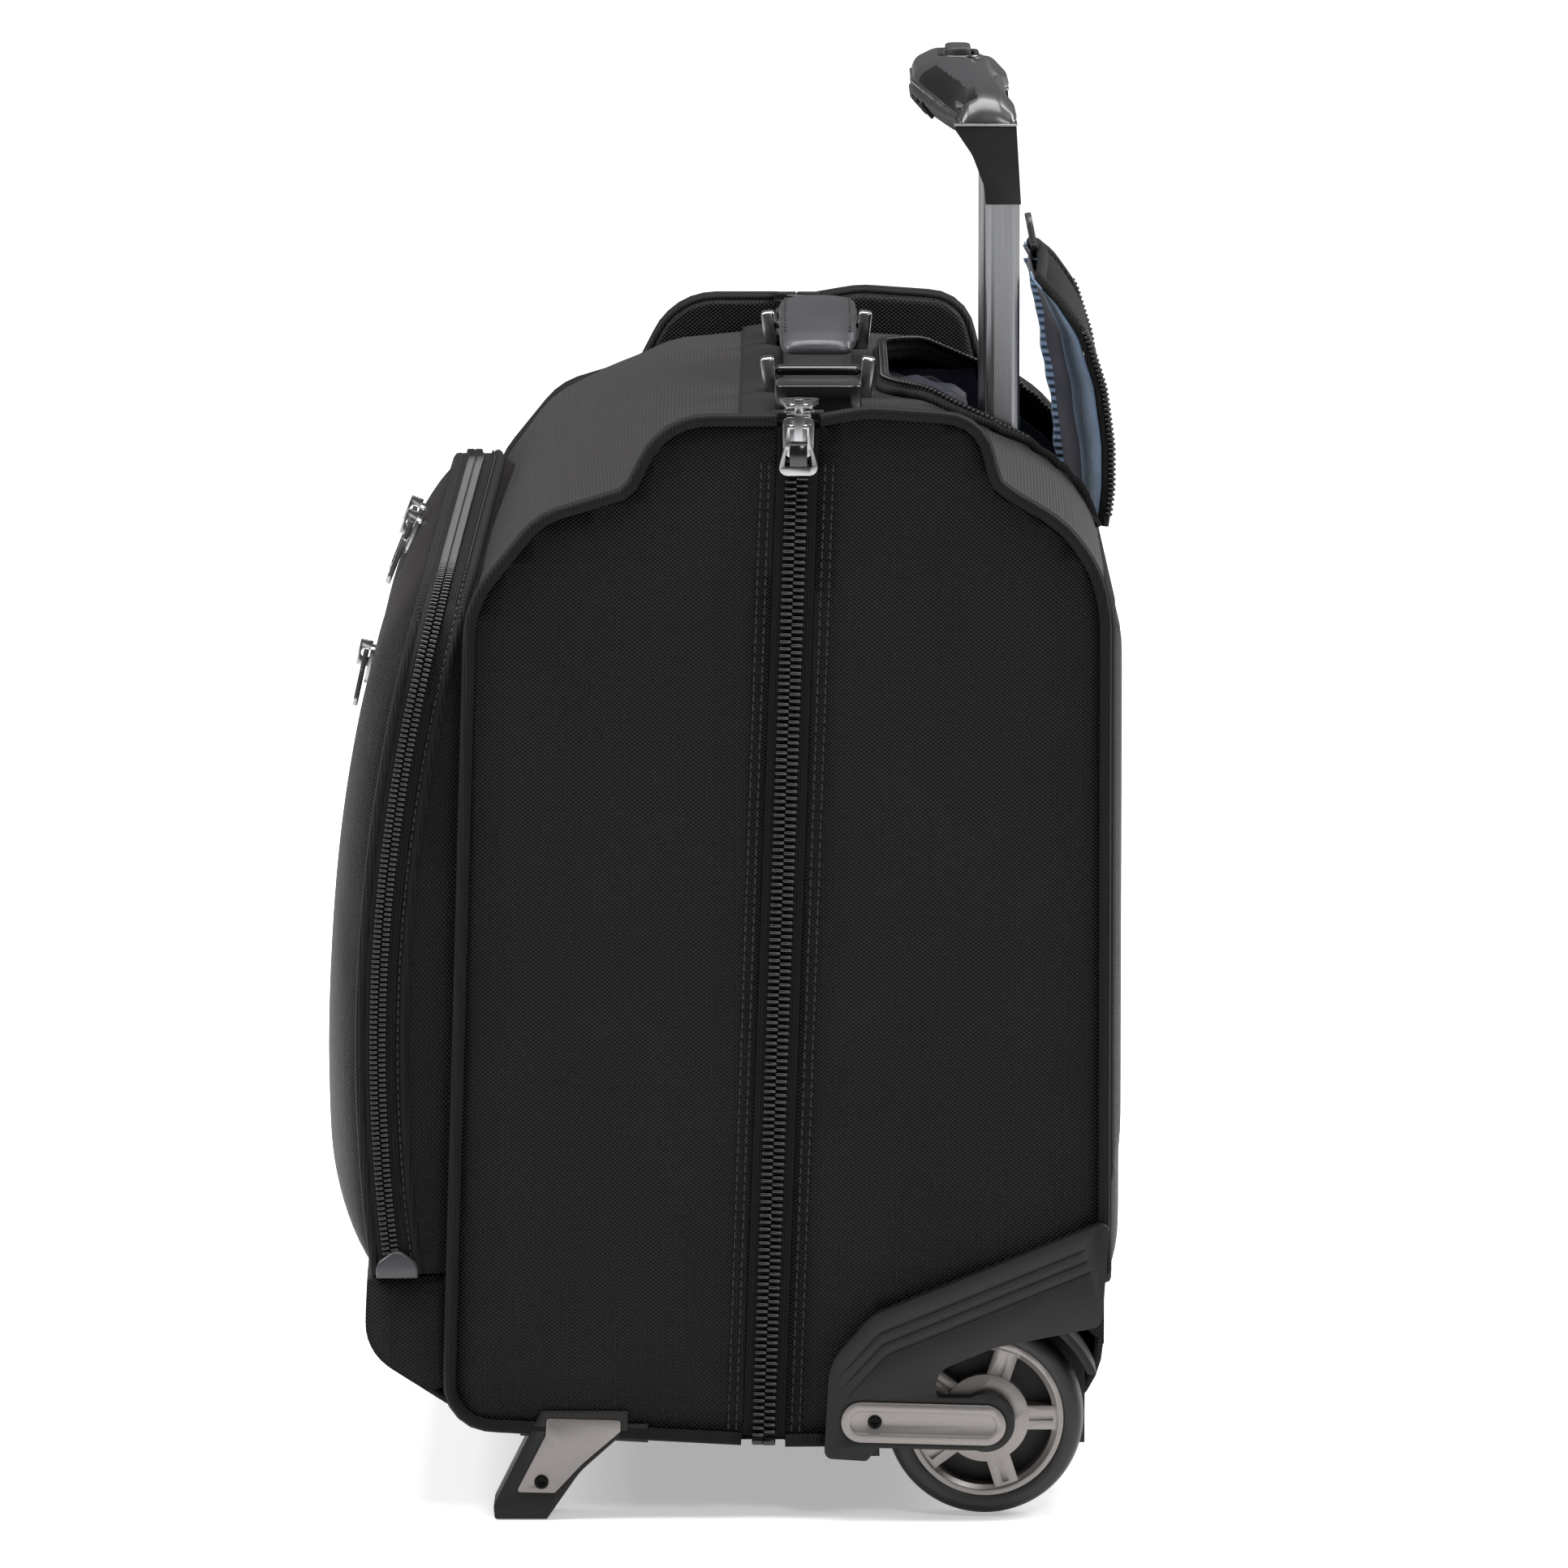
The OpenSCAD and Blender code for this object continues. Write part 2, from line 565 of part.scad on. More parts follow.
module main_slider_top() {
    color(silver) translate([half_w - 8, zip_y(ear_z), ear_z + 0.5]) rotate(-90) slider();
}
module main_pull_top() {
    color(silver) translate([half_w - 8, zip_y(ear_z), ear_z + 4.5]) rotate(-90) translate([0, 3.5, 0])
        pull(pull_l);
}
slider_x = [-26, 26];
front_slider_z = 345;
lower_slider_z = 292;
slider_off = 2.5;
function panel_face(z) = pocket_line(z) - 1.5
    - pocket_bulge * pow(sin(180 * (z - pocket_low) / (pocket_high - pocket_low)), 0.4);
function panel_tilt(z) = atan((panel_face(z) - panel_face(z - 22)) / 22);
module on_front(x, z) {
    translate([x, panel_face(z), z]) rotate([90 - panel_tilt(z), 0, 0]) translate([0, 0, slider_off])
        children();
}
module pocket_sliders() {
    color(silver) {
        for (x = slider_x) on_front(x, front_slider_z) slider();
        on_front(0, lower_slider_z) slider();
    }
}
module pocket_pulls_top() {
    color(silver) for (x = slider_x) on_front(x, front_slider_z) translate([0, 3.5, 4]) pull(pull_l);
}
module pocket_pull_lower() {
    color(silver) on_front(0, lower_slider_z) translate([0, 3.5, 4]) pull(pull_l - 4);
}

// ---- carry handle ----
strap_z = top_z + 3;
module handle_strap() {
    reach = bracket_x + 14;
    line = [[-reach, 0], [-reach + 24, 0], [-60, 8], [-30, 14], [0, 16], [30, 14], [60, 8], [reach - 24, 0],
        [reach, 0]];
    color(black) along_y(handle_y - 13, handle_y + 13, concat([for (p = line) [p[0], strap_z + p[1]]],
        [for (i = [len(line) - 1:-1:0]) [line[i][0], strap_z + line[i][1] + 3]]));
}
module handle_grip() {
    under = [for (a = [-60:12:60]) [a, strap_z + 15.6 - 8 * a * a / 3600 - 3.4]];
    over = [for (a = [60:-12:-60]) [a, strap_z + 15.6 - 8 * a * a / 3600 + 7]];
    color(dark_grey) difference() {
        along_y(handle_y - grip_w / 2, handle_y + grip_w / 2, concat(under, over));
        line = [[-70, 5.3], [-60, 8], [-30, 14], [0, 16], [30, 14], [60, 8], [70, 5.3]];
        along_y(handle_y - 13.2, handle_y + 13.2, concat([for (p = line) [p[0], strap_z + p[1] - 0.1]],
            [for (i = [len(line) - 1:-1:0]) [line[i][0], strap_z + line[i][1] + 3.2]]));
    }
}
module handle_brackets() {
    color(silver) both_sides() translate([bracket_x, handle_y, top_z]) difference() {
        box(-5, 5, -20, 20, 0.3, 17);
        box(-8, 8, -16, 16, 2.2, 13.6);
        for (side = [-1, 1]) translate([-6, side * 20, 17]) rotate([0, 90, 0]) cylinder(r = 3, h = 12, $fn = 4);
    }
}
module buckle_sockets() {
    color(black) both_sides() difference() {
        translate([162, handle_y, 0]) rounded_bar(30, 33, 5, top_z + 0.8, top_z + 12);
        box(145, 172, handle_y - 12, handle_y + 12, top_z + 4, top_z + 9);
    }
}
module buckle_plugs() {
    color(black) both_sides() {
        translate([136, handle_y, 0]) rounded_bar(18, 31, 4, top_z + 2, top_z + 11);
        for (side = [-1, 1]) box(143, 168, handle_y + side * 8 - 2.5, handle_y + side * 8 + 2.5, top_z + 4.8,
            top_z + 8.2);
    }
}

// ---- rear flap over the handle's recess, standing open behind the legs ----
flap_outer = [[141.5, 360], [145, 374], [146, 390], [143.5, 412], [138, 434], [129, 450], [121, 458]];
flap_inner = [[114, 452], [124, 436], [131, 416], [135.5, 392], [137, 374], [139.5, 360]];
module flap_panel() {
    color(black) along_x(-recess_half + 2, recess_half - 2, concat(flap_outer, flap_inner));
}
module flap_tab() {
    color(black) along_x(-14, 14, [[117.5, 456], [120.5, 458.6], [116, 469], [113.5, 468]]);
}
module recess_liner() {
    color(navy) difference() {
        box(-recess_half + 1, recess_half - 1, recess_y[0] + 1, recess_y[1] - 1, recess_floor, 398);
        box(-recess_half + 3, recess_half - 3, recess_y[0] + 3, recess_y[1] - 3, recess_floor + 2, 420);
        for (side = [-1, 1])
            leg(side) rounded_bar(mid_w + 2 * tube_gap, mid_d + 2 * tube_gap, 3, recess_floor - 1,
                recess_floor + 3);
        along_x(-200, 200, [[96, 394], [132, 363], [160, 363], [160, 440], [96, 440]]);
    }
}

rear_shell();
rear_panel();
rear_piping();
spine();
zip_stringer_rear();
rear_lining_panel();
garment_straps();
tube_outer_left();
tube_outer_right();
tube_foot_bracket();
top_bezel();
tube_mid_left();
tube_mid_right();
tube_inner_left();
tube_inner_right();
grip_collars();
grip_top();
grip_underside();
grip_trim();
release_button();
release_rods();
lock_pins();
wheel_housing_left();
wheel_housing_right();
housing_inserts();
housing_screws();
axles();
rim_left();
rim_right();
tyre_left();
tyre_right();
bearings_left();
bearings_right();
front_shell();
front_piping();
zip_stringer_front();
front_lining_panel();
pocket_gusset();
kick_panel();
pocket_panel();
feet();
foot_inserts();
foot_screws();
main_slider_side();
main_pull_side();
main_slider_top();
main_pull_top();
pocket_sliders();
pocket_pulls_top();
pocket_pull_lower();
handle_strap();
handle_grip();
handle_brackets();
buckle_sockets();
buckle_plugs();
flap_panel();
flap_tab();
recess_liner();
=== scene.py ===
"""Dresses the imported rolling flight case: woven shells, zips, handle, wheels and lining, in metres."""
from __future__ import annotations

import json
import logging
import math
from dataclasses import dataclass, field
from enum import Enum
from typing import Callable, Sequence

import bmesh
import bpy
from mathutils import Matrix, Vector, noise

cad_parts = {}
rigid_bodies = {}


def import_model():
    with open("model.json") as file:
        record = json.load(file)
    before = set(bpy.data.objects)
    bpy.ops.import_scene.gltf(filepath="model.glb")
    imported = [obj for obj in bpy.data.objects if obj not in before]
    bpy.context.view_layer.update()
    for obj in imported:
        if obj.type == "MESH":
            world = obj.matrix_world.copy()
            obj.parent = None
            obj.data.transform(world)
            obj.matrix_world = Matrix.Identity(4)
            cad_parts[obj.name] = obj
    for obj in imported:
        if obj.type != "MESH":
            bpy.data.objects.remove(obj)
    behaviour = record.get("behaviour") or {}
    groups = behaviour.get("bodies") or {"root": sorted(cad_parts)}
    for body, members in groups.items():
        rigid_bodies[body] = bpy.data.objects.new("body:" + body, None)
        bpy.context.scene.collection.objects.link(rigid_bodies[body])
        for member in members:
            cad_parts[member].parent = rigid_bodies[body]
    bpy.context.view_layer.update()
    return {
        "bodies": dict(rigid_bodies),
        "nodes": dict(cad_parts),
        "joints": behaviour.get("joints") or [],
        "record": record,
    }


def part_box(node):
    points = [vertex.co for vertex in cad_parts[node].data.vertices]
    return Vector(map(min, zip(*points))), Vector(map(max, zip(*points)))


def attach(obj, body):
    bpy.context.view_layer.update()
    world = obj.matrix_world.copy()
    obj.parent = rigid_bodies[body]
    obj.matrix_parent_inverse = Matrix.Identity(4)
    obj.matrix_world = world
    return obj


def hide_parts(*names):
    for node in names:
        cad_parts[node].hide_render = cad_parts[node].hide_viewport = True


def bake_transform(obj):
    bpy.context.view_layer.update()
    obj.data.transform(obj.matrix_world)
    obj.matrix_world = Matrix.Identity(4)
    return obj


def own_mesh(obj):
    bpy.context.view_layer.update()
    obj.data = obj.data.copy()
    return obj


LOG = logging.getLogger("flight_case")
MM = 0.001
Point = tuple[float, float]
Corner = tuple[float, float, float]
Point3 = tuple[float, float, float]


# ---------------------------------------------------------------- materials
def linear(code: str) -> tuple[float, float, float, float]:
    """Turns an sRGB hex colour into a linear RGBA colour.

    Args:
        code: six hex digits, with or without a leading hash.

    Returns:
        The linear red, green and blue, and an alpha of 1.
    """
    code = code.lstrip("#")
    parts = [int(code[i:i + 2], 16) / 255 for i in (0, 2, 4)]
    lin = [p / 12.92 if p <= 0.04045 else ((p + 0.055) / 1.055) ** 2.4 for p in parts]
    return (lin[0], lin[1], lin[2], 1.0)


def add_node(tree: bpy.types.NodeTree, kind: str, settings: dict | None = None,
             inputs: dict | None = None) -> bpy.types.Node:
    """Adds a node with its settings, and sets or links its inputs.

    Args:
        tree: the material's node tree.
        kind: the node's Blender type name.
        settings: properties set on the node itself.
        inputs: a value or an output socket for each named or numbered input.

    Returns:
        The new node.
    """
    made = tree.nodes.new(kind)
    for key, value in (settings or {}).items():
        setattr(made, key, value)
    for key, value in (inputs or {}).items():
        if isinstance(value, bpy.types.NodeSocket):
            tree.links.new(value, made.inputs[key])
        else:
            made.inputs[key].default_value = value
    return made


def new_material(name: str, shader: dict) -> tuple[bpy.types.NodeTree, bpy.types.Node, bpy.types.Material]:
    """Makes a material with one Principled shader.

    Args:
        name: the material's name.
        shader: values for the shader's own sockets.

    Returns:
        The node tree, the shader node and the material.
    """
    material = bpy.data.materials.new(name)
    material.use_nodes = True
    tree = material.node_tree
    tree.nodes.clear()
    bsdf = add_node(tree, "ShaderNodeBsdfPrincipled", {}, shader)
    add_node(tree, "ShaderNodeOutputMaterial", {}, {"Surface": bsdf.outputs["BSDF"]})
    return tree, bsdf, material


def scaled_uv(tree: bpy.types.NodeTree, cell_mm: float, stretch: float = 1.0) -> bpy.types.Node:
    """Gives the UV position, kept in metres, as angles that turn once for each pair of cells.

    Args:
        tree: the material's node tree.
        cell_mm: the size of a cell in millimetres.
        stretch: how much longer a cell is along V.

    Returns:
        A Separate XYZ node of the scaled coordinates.
    """
    k = math.pi / (cell_mm * MM)
    uv = add_node(tree, "ShaderNodeUVMap", {"uv_map": "metres"})
    scaled = add_node(tree, "ShaderNodeVectorMath", {"operation": "MULTIPLY"},
                      {0: uv.outputs["UV"], 1: (k, k / stretch, 1.0)})
    return add_node(tree, "ShaderNodeSeparateXYZ", {}, {0: scaled.outputs["Vector"]})


@dataclass(frozen=True)
class WovenNylon:
    """Ballistic nylon in a basket weave: matt black threads with painted highlights on their crowns and
    painted shade in the gaps.
    """

    name: str = "ballistic_nylon_basket_weave"
    # A thread of the real weave is about 0.8 mm wide. It is drawn coarser, so that it shows in the render.
    cell_mm: float = 0.95
    # Painted shade in the weave's gaps and painted highlight on the thread crowns.
    shaded_valley: str = "#010101"
    lit_crown: str = "#2f2b2a"
    roughness: float = 0.46
    sheen: float = 0.03
    bump: float = 1.0
    stretch: float = 0.8

    def build(self) -> bpy.types.Material:
        """Builds the material.

        Returns:
            The finished material.
        """
        tree, bsdf, material = new_material(self.name, {
            "Roughness": self.roughness, "Specular IOR Level": 0.14, "Sheen Weight": self.sheen,
            "Sheen Roughness": 0.4, "Sheen Tint": linear("#b9aaa2")})
        axes = scaled_uv(tree, self.cell_mm, self.stretch)
        sines = [add_node(tree, "ShaderNodeMath", {"operation": "SINE"}, {0: axes.outputs[i]})
                 for i in (0, 1)]
        over = add_node(tree, "ShaderNodeMath", {"operation": "MULTIPLY"},
                        {0: sines[0].outputs[0], 1: sines[1].outputs[0]})
        height = add_node(tree, "ShaderNodeMapRange", {},
                          {"Value": over.outputs[0], "From Min": -0.15, "From Max": 0.85})
        coord = add_node(tree, "ShaderNodeTexCoord")
        patches = add_node(tree, "ShaderNodeTexNoise", {},
                           {"Vector": coord.outputs["Object"], "Scale": 22.0, "Detail": 5.0})
        # Painted highlight and shade: the colour runs from near-black in the gaps to lighter on the thread
        # crowns.
        threads = add_node(tree, "ShaderNodeMix", {"data_type": "RGBA"},
                           {0: height.outputs[0], 6: linear(self.shaded_valley), 7: linear(self.lit_crown)})
        # Patchy tone over the panels: partly dust, partly a painted sheen.
        dust_and_sheen = add_node(tree, "ShaderNodeMapRange", {},
                        {"Value": patches.outputs[0], "From Min": 0.3, "From Max": 0.75,
                         "To Min": 0.8, "To Max": 1.25})
        tinted = add_node(tree, "ShaderNodeVectorMath", {"operation": "SCALE"},
                          {0: threads.outputs[2], "Scale": dust_and_sheen.outputs[0]})
        tree.links.new(tinted.outputs[0], bsdf.inputs["Base Color"])
        bump = add_node(tree, "ShaderNodeBump", {},
                        {"Strength": self.bump, "Distance": 0.0009, "Height": height.outputs[0]})
        soft = add_node(tree, "ShaderNodeBump", {},
                        {"Strength": 0.25, "Distance": 0.004, "Height": patches.outputs[0],
                         "Normal": bump.outputs["Normal"]})
        tree.links.new(soft.outputs["Normal"], bsdf.inputs["Normal"])
        return material


@dataclass(frozen=True)
class RibbedCloth:
    """Woven tape or webbing: fine parallel ribs with painted shade between them, and a low, directional
    sheen.
    """

    name: str
    colour: str
    rib_mm: float = 0.8
    roughness: float = 0.7
    across_u: bool = True
    bump: float = 0.5
    sheen: float = 0.02
    # How far the colour darkens between the ribs and lightens on them: painted shade and highlight.
    contrast: float = 0.25

    def build(self) -> bpy.types.Material:
        """Builds the material.

        Returns:
            The finished material.
        """
        tree, bsdf, material = new_material(self.name, {
            "Roughness": self.roughness, "Specular IOR Level": 0.2, "Sheen Weight": self.sheen,
            "Sheen Roughness": 0.5})
        axes = scaled_uv(tree, self.rib_mm)
        rib = add_node(tree, "ShaderNodeMath", {"operation": "SINE"},
                       {0: axes.outputs[0 if self.across_u else 1]})
        coord = add_node(tree, "ShaderNodeTexCoord")
        grain = add_node(tree, "ShaderNodeTexNoise", {},
                         {"Vector": coord.outputs["Object"], "Scale": 160.0, "Detail": 3.0})
        base = linear(self.colour)
        dark = (base[0] * 0.55, base[1] * 0.55, base[2] * 0.55, 1.0)
        tone = add_node(tree, "ShaderNodeMix", {"data_type": "RGBA"},
                        {0: grain.outputs[0], 6: dark, 7: base})
        # Painted shade and highlight: the colour follows each rib's height, darker between the ribs and
        # lighter on them.
        shade = add_node(tree, "ShaderNodeMapRange", {},
                         {"Value": rib.outputs[0], "From Min": -1.0, "To Min": 1 - self.contrast,
                          "To Max": 1 + self.contrast / 3})
        shaded = add_node(tree, "ShaderNodeVectorMath", {"operation": "SCALE"},
                          {0: tone.outputs[2], "Scale": shade.outputs[0]})
        tree.links.new(shaded.outputs[0], bsdf.inputs["Base Color"])
        bump = add_node(tree, "ShaderNodeBump", {},
                        {"Strength": self.bump, "Distance": 0.0004, "Height": rib.outputs[0]})
        tree.links.new(bump.outputs["Normal"], bsdf.inputs["Normal"])
        return material


@dataclass(frozen=True)
class Moulded:
    """Moulded plastic, rubber or leather: one tone with a fine surface grain and slight gloss changes."""

    name: str
    colour: str
    roughness: float
    grain_mm: float = 0.5
    bump: float = 0.12
    coat: float = 0.0
    ior: float = 1.5
    spread: float = 0.12

    def build(self) -> bpy.types.Material:
        """Builds the material.

        Returns:
            The finished material.
        """
        tree, bsdf, material = new_material(self.name, {
            "IOR": self.ior, "Coat Weight": self.coat, "Coat Roughness": 0.18})
        coord = add_node(tree, "ShaderNodeTexCoord")
        grain = add_node(tree, "ShaderNodeTexNoise", {},
                         {"Vector": coord.outputs["Object"], "Scale": 1 / (self.grain_mm * MM),
                          "Detail": 2.0})
        broad = add_node(tree, "ShaderNodeTexNoise", {},
                         {"Vector": coord.outputs["Object"], "Scale": 35.0, "Detail": 4.0})
        base = linear(self.colour)
        light = tuple(min(1.0, c * 1.35) for c in base[:3]) + (1.0,)
        tone = add_node(tree, "ShaderNodeMix", {"data_type": "RGBA"},
                        {0: broad.outputs[0], 6: base, 7: light})
        tree.links.new(tone.outputs[2], bsdf.inputs["Base Color"])
        rough = add_node(tree, "ShaderNodeMapRange", {},
                         {"Value": broad.outputs[0], "To Min": max(0.03, self.roughness - self.spread / 2),
                          "To Max": self.roughness + self.spread / 2})
        tree.links.new(rough.outputs[0], bsdf.inputs["Roughness"])
        bump = add_node(tree, "ShaderNodeBump", {},
                        {"Strength": self.bump, "Distance": 0.0003, "Height": grain.outputs[0]})
        tree.links.new(bump.outputs["Normal"], bsdf.inputs["Normal"])
        return material


@dataclass(frozen=True)
class Metal:
    """Metal, plated, painted or brushed: the stretch of its grain sets the run of the brushing."""

    name: str
    colour: str
    roughness: float
    metallic: float = 1.0
    grain: tuple[float, float, float] = (900.0, 900.0, 900.0)
    bump: float = 0.05
    spread: float = 0.1
    contrast: float = 0.25

    def build(self) -> bpy.types.Material:
        """Builds the material.

        Returns:
            The finished material.
        """
        tree, bsdf, material = new_material(self.name, {"Metallic": self.metallic})
        coord = add_node(tree, "ShaderNodeTexCoord")
        stretched = add_node(tree, "ShaderNodeVectorMath", {"operation": "MULTIPLY"},
                             {0: coord.outputs["Object"], 1: self.grain})
        lines = add_node(tree, "ShaderNodeTexNoise", {},
                         {"Vector": stretched.outputs[0], "Scale": 1.0, "Detail": 3.0})
        base = linear(self.colour)
        dark = tuple(c * (1 - self.contrast) for c in base[:3]) + (1.0,)
        tone = add_node(tree, "ShaderNodeMix", {"data_type": "RGBA"},
                        {0: lines.outputs[0], 6: dark, 7: base})
        tree.links.new(tone.outputs[2], bsdf.inputs["Base Color"])
        rough = add_node(tree, "ShaderNodeMapRange", {},
                         {"Value": lines.outputs[0], "To Min": max(0.02, self.roughness - self.spread / 2),
                          "To Max": self.roughness + self.spread / 2})
        tree.links.new(rough.outputs[0], bsdf.inputs["Roughness"])
        bump = add_node(tree, "ShaderNodeBump", {},
                        {"Strength": self.bump, "Distance": 0.0002, "Height": lines.outputs[0]})
        tree.links.new(bump.outputs["Normal"], bsdf.inputs["Normal"])
        return material


class Finish(Enum):
    """Every finish on the case, by its name."""

    # Matt threads over near-black gaps of painted shade, with painted highlights on their crowns, so the
    # panels look woven.
    NYLON = WovenNylon()
    # Fine ribs along the shells: a low sheen that breaks into thin lines on the top and front.
    # Its tone, lighter than the side panels' nylon, is a painted sheen of the light from above, and its ribs
    # carry strong painted shade between them.
    TWILL = RibbedCloth("ribbed_nylon_top", "#242020", 0.7, 0.6, False, 0.5, 0.05, 0.5)
    # Plain woven tape round each edge: a soft dark line with hardly any shine.
    BINDING = RibbedCloth("bias_binding_tape", "#0c0c0c", 0.7)
    # Tightly woven tape: the flattest, darkest cloth, so that the zip's turns stand out from it.
    TAPE = RibbedCloth("zip_tape_woven", "#080808", 0.5, 0.65)
    # Smooth drawn nylon with a thin gloss: each turn gives a short highlight along the chain.
    COIL = Moulded("nylon_zip_coil_polished", "#070707", 0.3, 0.4, 0.05, 0.2)
    # Bonded thread: matt, so that the stitches look like small dark beads.
    THREAD = Moulded("bonded_nylon_thread", "#060606", 0.6, 0.3, 0.1)
    # Plain lining: a cloudy dark blue with a soft sheen on its folds. On the flap it stands for the pale
    # lining in shade: painted shade.
    NAVY = RibbedCloth("navy_polyester_lining", "#23253a", 0.5, 0.45, True, 0.25, 0.2)
    # Light lining: a pale grey-blue whose fine ribs show how it swells.
    STEEL_BLUE = RibbedCloth("steel_blue_lining_cloth", "#86a0c0", 1.1, 0.6, True, 0.6, 0.3)
    # Ribbed tape: deeper ribs than the lining's, so that its hem looks corded.
    BLUE_BINDING = RibbedCloth("steel_blue_ribbed_binding", "#7d97b8", 1.6, 0.6, False, 0.9, 0.2)
    # Strap webbing: matt black with deep ribs across its run.
    WEBBING = RibbedCloth("black_ribbed_webbing", "#121213", 1.2, 0.6, True, 0.8)
    # Spark-eroded moulding: a deep dull black whose fine grain breaks up the highlights.
    ABS = Moulded("black_abs_spark_textured", "#0a0a0b", 0.5, 0.45, 0.25, 0.0, 1.4)
    # Satin lacquer over a moulding: dark grey with a soft broad highlight along the bar.
    GLOSS = Moulded("dark_grey_satin_lacquered_abs", "#2b2b2d", 0.34, 0.8, 0.03, 0.5)
    # Soft-touch rubber: dark and even, with no sharp highlight.
    RUBBER = Moulded("soft_touch_rubber", "#161617", 0.6, 0.4, 0.3)
    # Moulded polyurethane: smooth black with a dull shine that follows the tread.
    TYRE = Moulded("moulded_polyurethane_tyre", "#121213", 0.5, 0.5, 0.15)
    # Smooth leather: dark grey and slightly glossy, with a faint grain.
    LEATHER = Moulded("dark_grey_smooth_leather", "#343437", 0.34, 1.1, 0.3)
    # Gloss moulded nylon: near-black with small sharp highlights.
    PATENT = Moulded("black_gloss_moulded_nylon", "#0e0e0f", 0.18, 0.7, 0.05, 0.4)
    # Nickel and chrome plate: a bright grey mirror, a little blurred by handling.
    CHROME = Metal("nickel_chrome_plate", "#a9a9ab", 0.24, 1.0, (400.0, 400.0, 400.0), 0.02, 0.08, 0.2)
    # Brushed and anodised tube: highlights stretched along the legs.
    ALUMINIUM = Metal("brushed_anodised_aluminium", "#b9babd", 0.3, 1.0, (2600.0, 2600.0, 14.0), 0.12,
                      0.16, 0.35)
    # Metallic paint: a warm satin glow with a fine flake and no sharp reflection.
    PAINT = Metal("warm_grey_metallic_paint", "#8f8a87", 0.36, 0.75, (1500.0, 1500.0, 1500.0), 0.06, 0.1,
                  0.3)
    # Turned steel: mid grey with a dull metal shine.
    STEEL = Metal("plain_turned_steel", "#a5a5a5", 0.3)
    # Blackened steel: dark, with a thin metal glint on the screws.
    BLACK_STEEL = Metal("blackened_steel", "#1a1a1a", 0.35)

    def material(self) -> bpy.types.Material:
        """Returns the finish's material, made on its first use."""
        return bpy.data.materials.get(self.value.name) or self.value.build()


# ---------------------------------------------------------------- shape helpers
def rounded(corners: Sequence[Corner], steps: int = 6, closed: bool = True) -> list[Point]:
    """Turns corners with radii into points with round corners.

    Args:
        corners: first coordinate, second coordinate and radius of each corner.
        steps: spans in each round corner.
        closed: whether the last corner joins the first.

    Returns:
        The outline's points.
    """
    count = len(corners)
    points: list[Point] = []
    for i, (a, b, radius) in enumerate(corners):
        here = Vector((a, b))
        if radius <= 0 or (not closed and i in (0, count - 1)):
            points.append((a, b))
            continue
        back = (Vector(corners[i - 1][:2]) - here).normalized()
        ahead = (Vector(corners[(i + 1) % count][:2]) - here).normalized()
        half = math.acos(max(-1.0, min(1.0, back.dot(ahead)))) / 2
        run = radius / math.tan(half)
        centre = here + (back + ahead).normalized() * radius / math.sin(half)
        first, last = here + back * run - centre, here + ahead * run - centre
        turn = math.copysign(math.pi - 2 * half, first.x * last.y - first.y * last.x)
        for k in range(steps + 1):
            w = turn * k / steps
            points.append((centre.x + first.x * math.cos(w) - first.y * math.sin(w),
                           centre.y + first.x * math.sin(w) + first.y * math.cos(w)))
    return points


def resampled(points: Sequence[Sequence[float]], count: int) -> list[Vector]:
    """Spaces points evenly along a line of points.

    Args:
        points: the line's points.
        count: how many points to return.

    Returns:
        Evenly spaced points, the ends kept.
    """
    line = [Vector(p) for p in points]
    lengths = [0.0]
    for a, b in zip(line, line[1:]):
        lengths.append(lengths[-1] + (b - a).length)
    out, seg = [], 0
    for i in range(count):
        s = lengths[-1] * i / (count - 1)
        while seg < len(line) - 2 and lengths[seg + 1] < s:
            seg += 1
        span = max(lengths[seg + 1] - lengths[seg], 1e-9)
        out.append(line[seg].lerp(line[seg + 1], min(1.0, (s - lengths[seg]) / span)))
    return out


def length_of(points: Sequence[Sequence[float]]) -> float:
    """Returns the length of a line of points.

    Args:
        points: the points of a line.
    """
    line = [Vector(p) for p in points]
    return sum((b - a).length for a, b in zip(line, line[1:]))


def zip_y(z: float) -> float:
    """Returns the main zip's Y at a height, both in millimetres; the zip leans back as it rises.

    Args:
        z: the height in millimetres.
    """
    return 10.3 + 0.0344 * z


def box_uv(bm: bmesh.types.BMesh) -> None:
    """Gives every face a UV in metres, flat along the axis that it faces most.

    Args:
        bm: the mesh.
    """
    layer = bm.loops.layers.uv.get("metres") or bm.loops.layers.uv.new("metres")
    for face in bm.faces:
        n = face.normal
        axis = max(range(3), key=lambda i: abs(n[i]))
        a, b = [i for i in range(3) if i != axis]
        for loop in face.loops:
            loop[layer].uv = (loop.vert.co[a], loop.vert.co[b])


def finish_piece(bm: bmesh.types.BMesh, name: str, body: str | None, finishes: Sequence[Finish],
                 slot: str, smooth: bool = True, stands_for: Sequence[str] = ()) -> bpy.types.Object:
    """Turns a bmesh into a piece with its finishes, riding on its body.

    Args:
        bm: the shape, in metres and in place; it is freed.
        name: the piece's name.
        body: the CAD body that it rides on, or None for a piece on no body.
        finishes: the piece's materials, the first for every face unless set.
        slot: the record's material slot; not used.
        smooth: whether its faces are shaded smooth.
        stands_for: the CAD nodes that it replaces.

    Returns:
        The piece.
    """
    if not bm.loops.layers.uv.get("metres"):
        box_uv(bm)
    for face in bm.faces:
        face.smooth = smooth
    mesh = bpy.data.meshes.new(name)
    bm.to_mesh(mesh)
    bm.free()
    piece = bpy.data.objects.new(name, mesh)
    bpy.context.scene.collection.objects.link(piece)
    for finish in finishes:
        mesh.materials.append(finish.material())
    if body:
        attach(piece, body)
    if stands_for:
        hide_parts(*stands_for)
    LOG.info("%s: %d faces", name, len(mesh.polygons))
    return piece


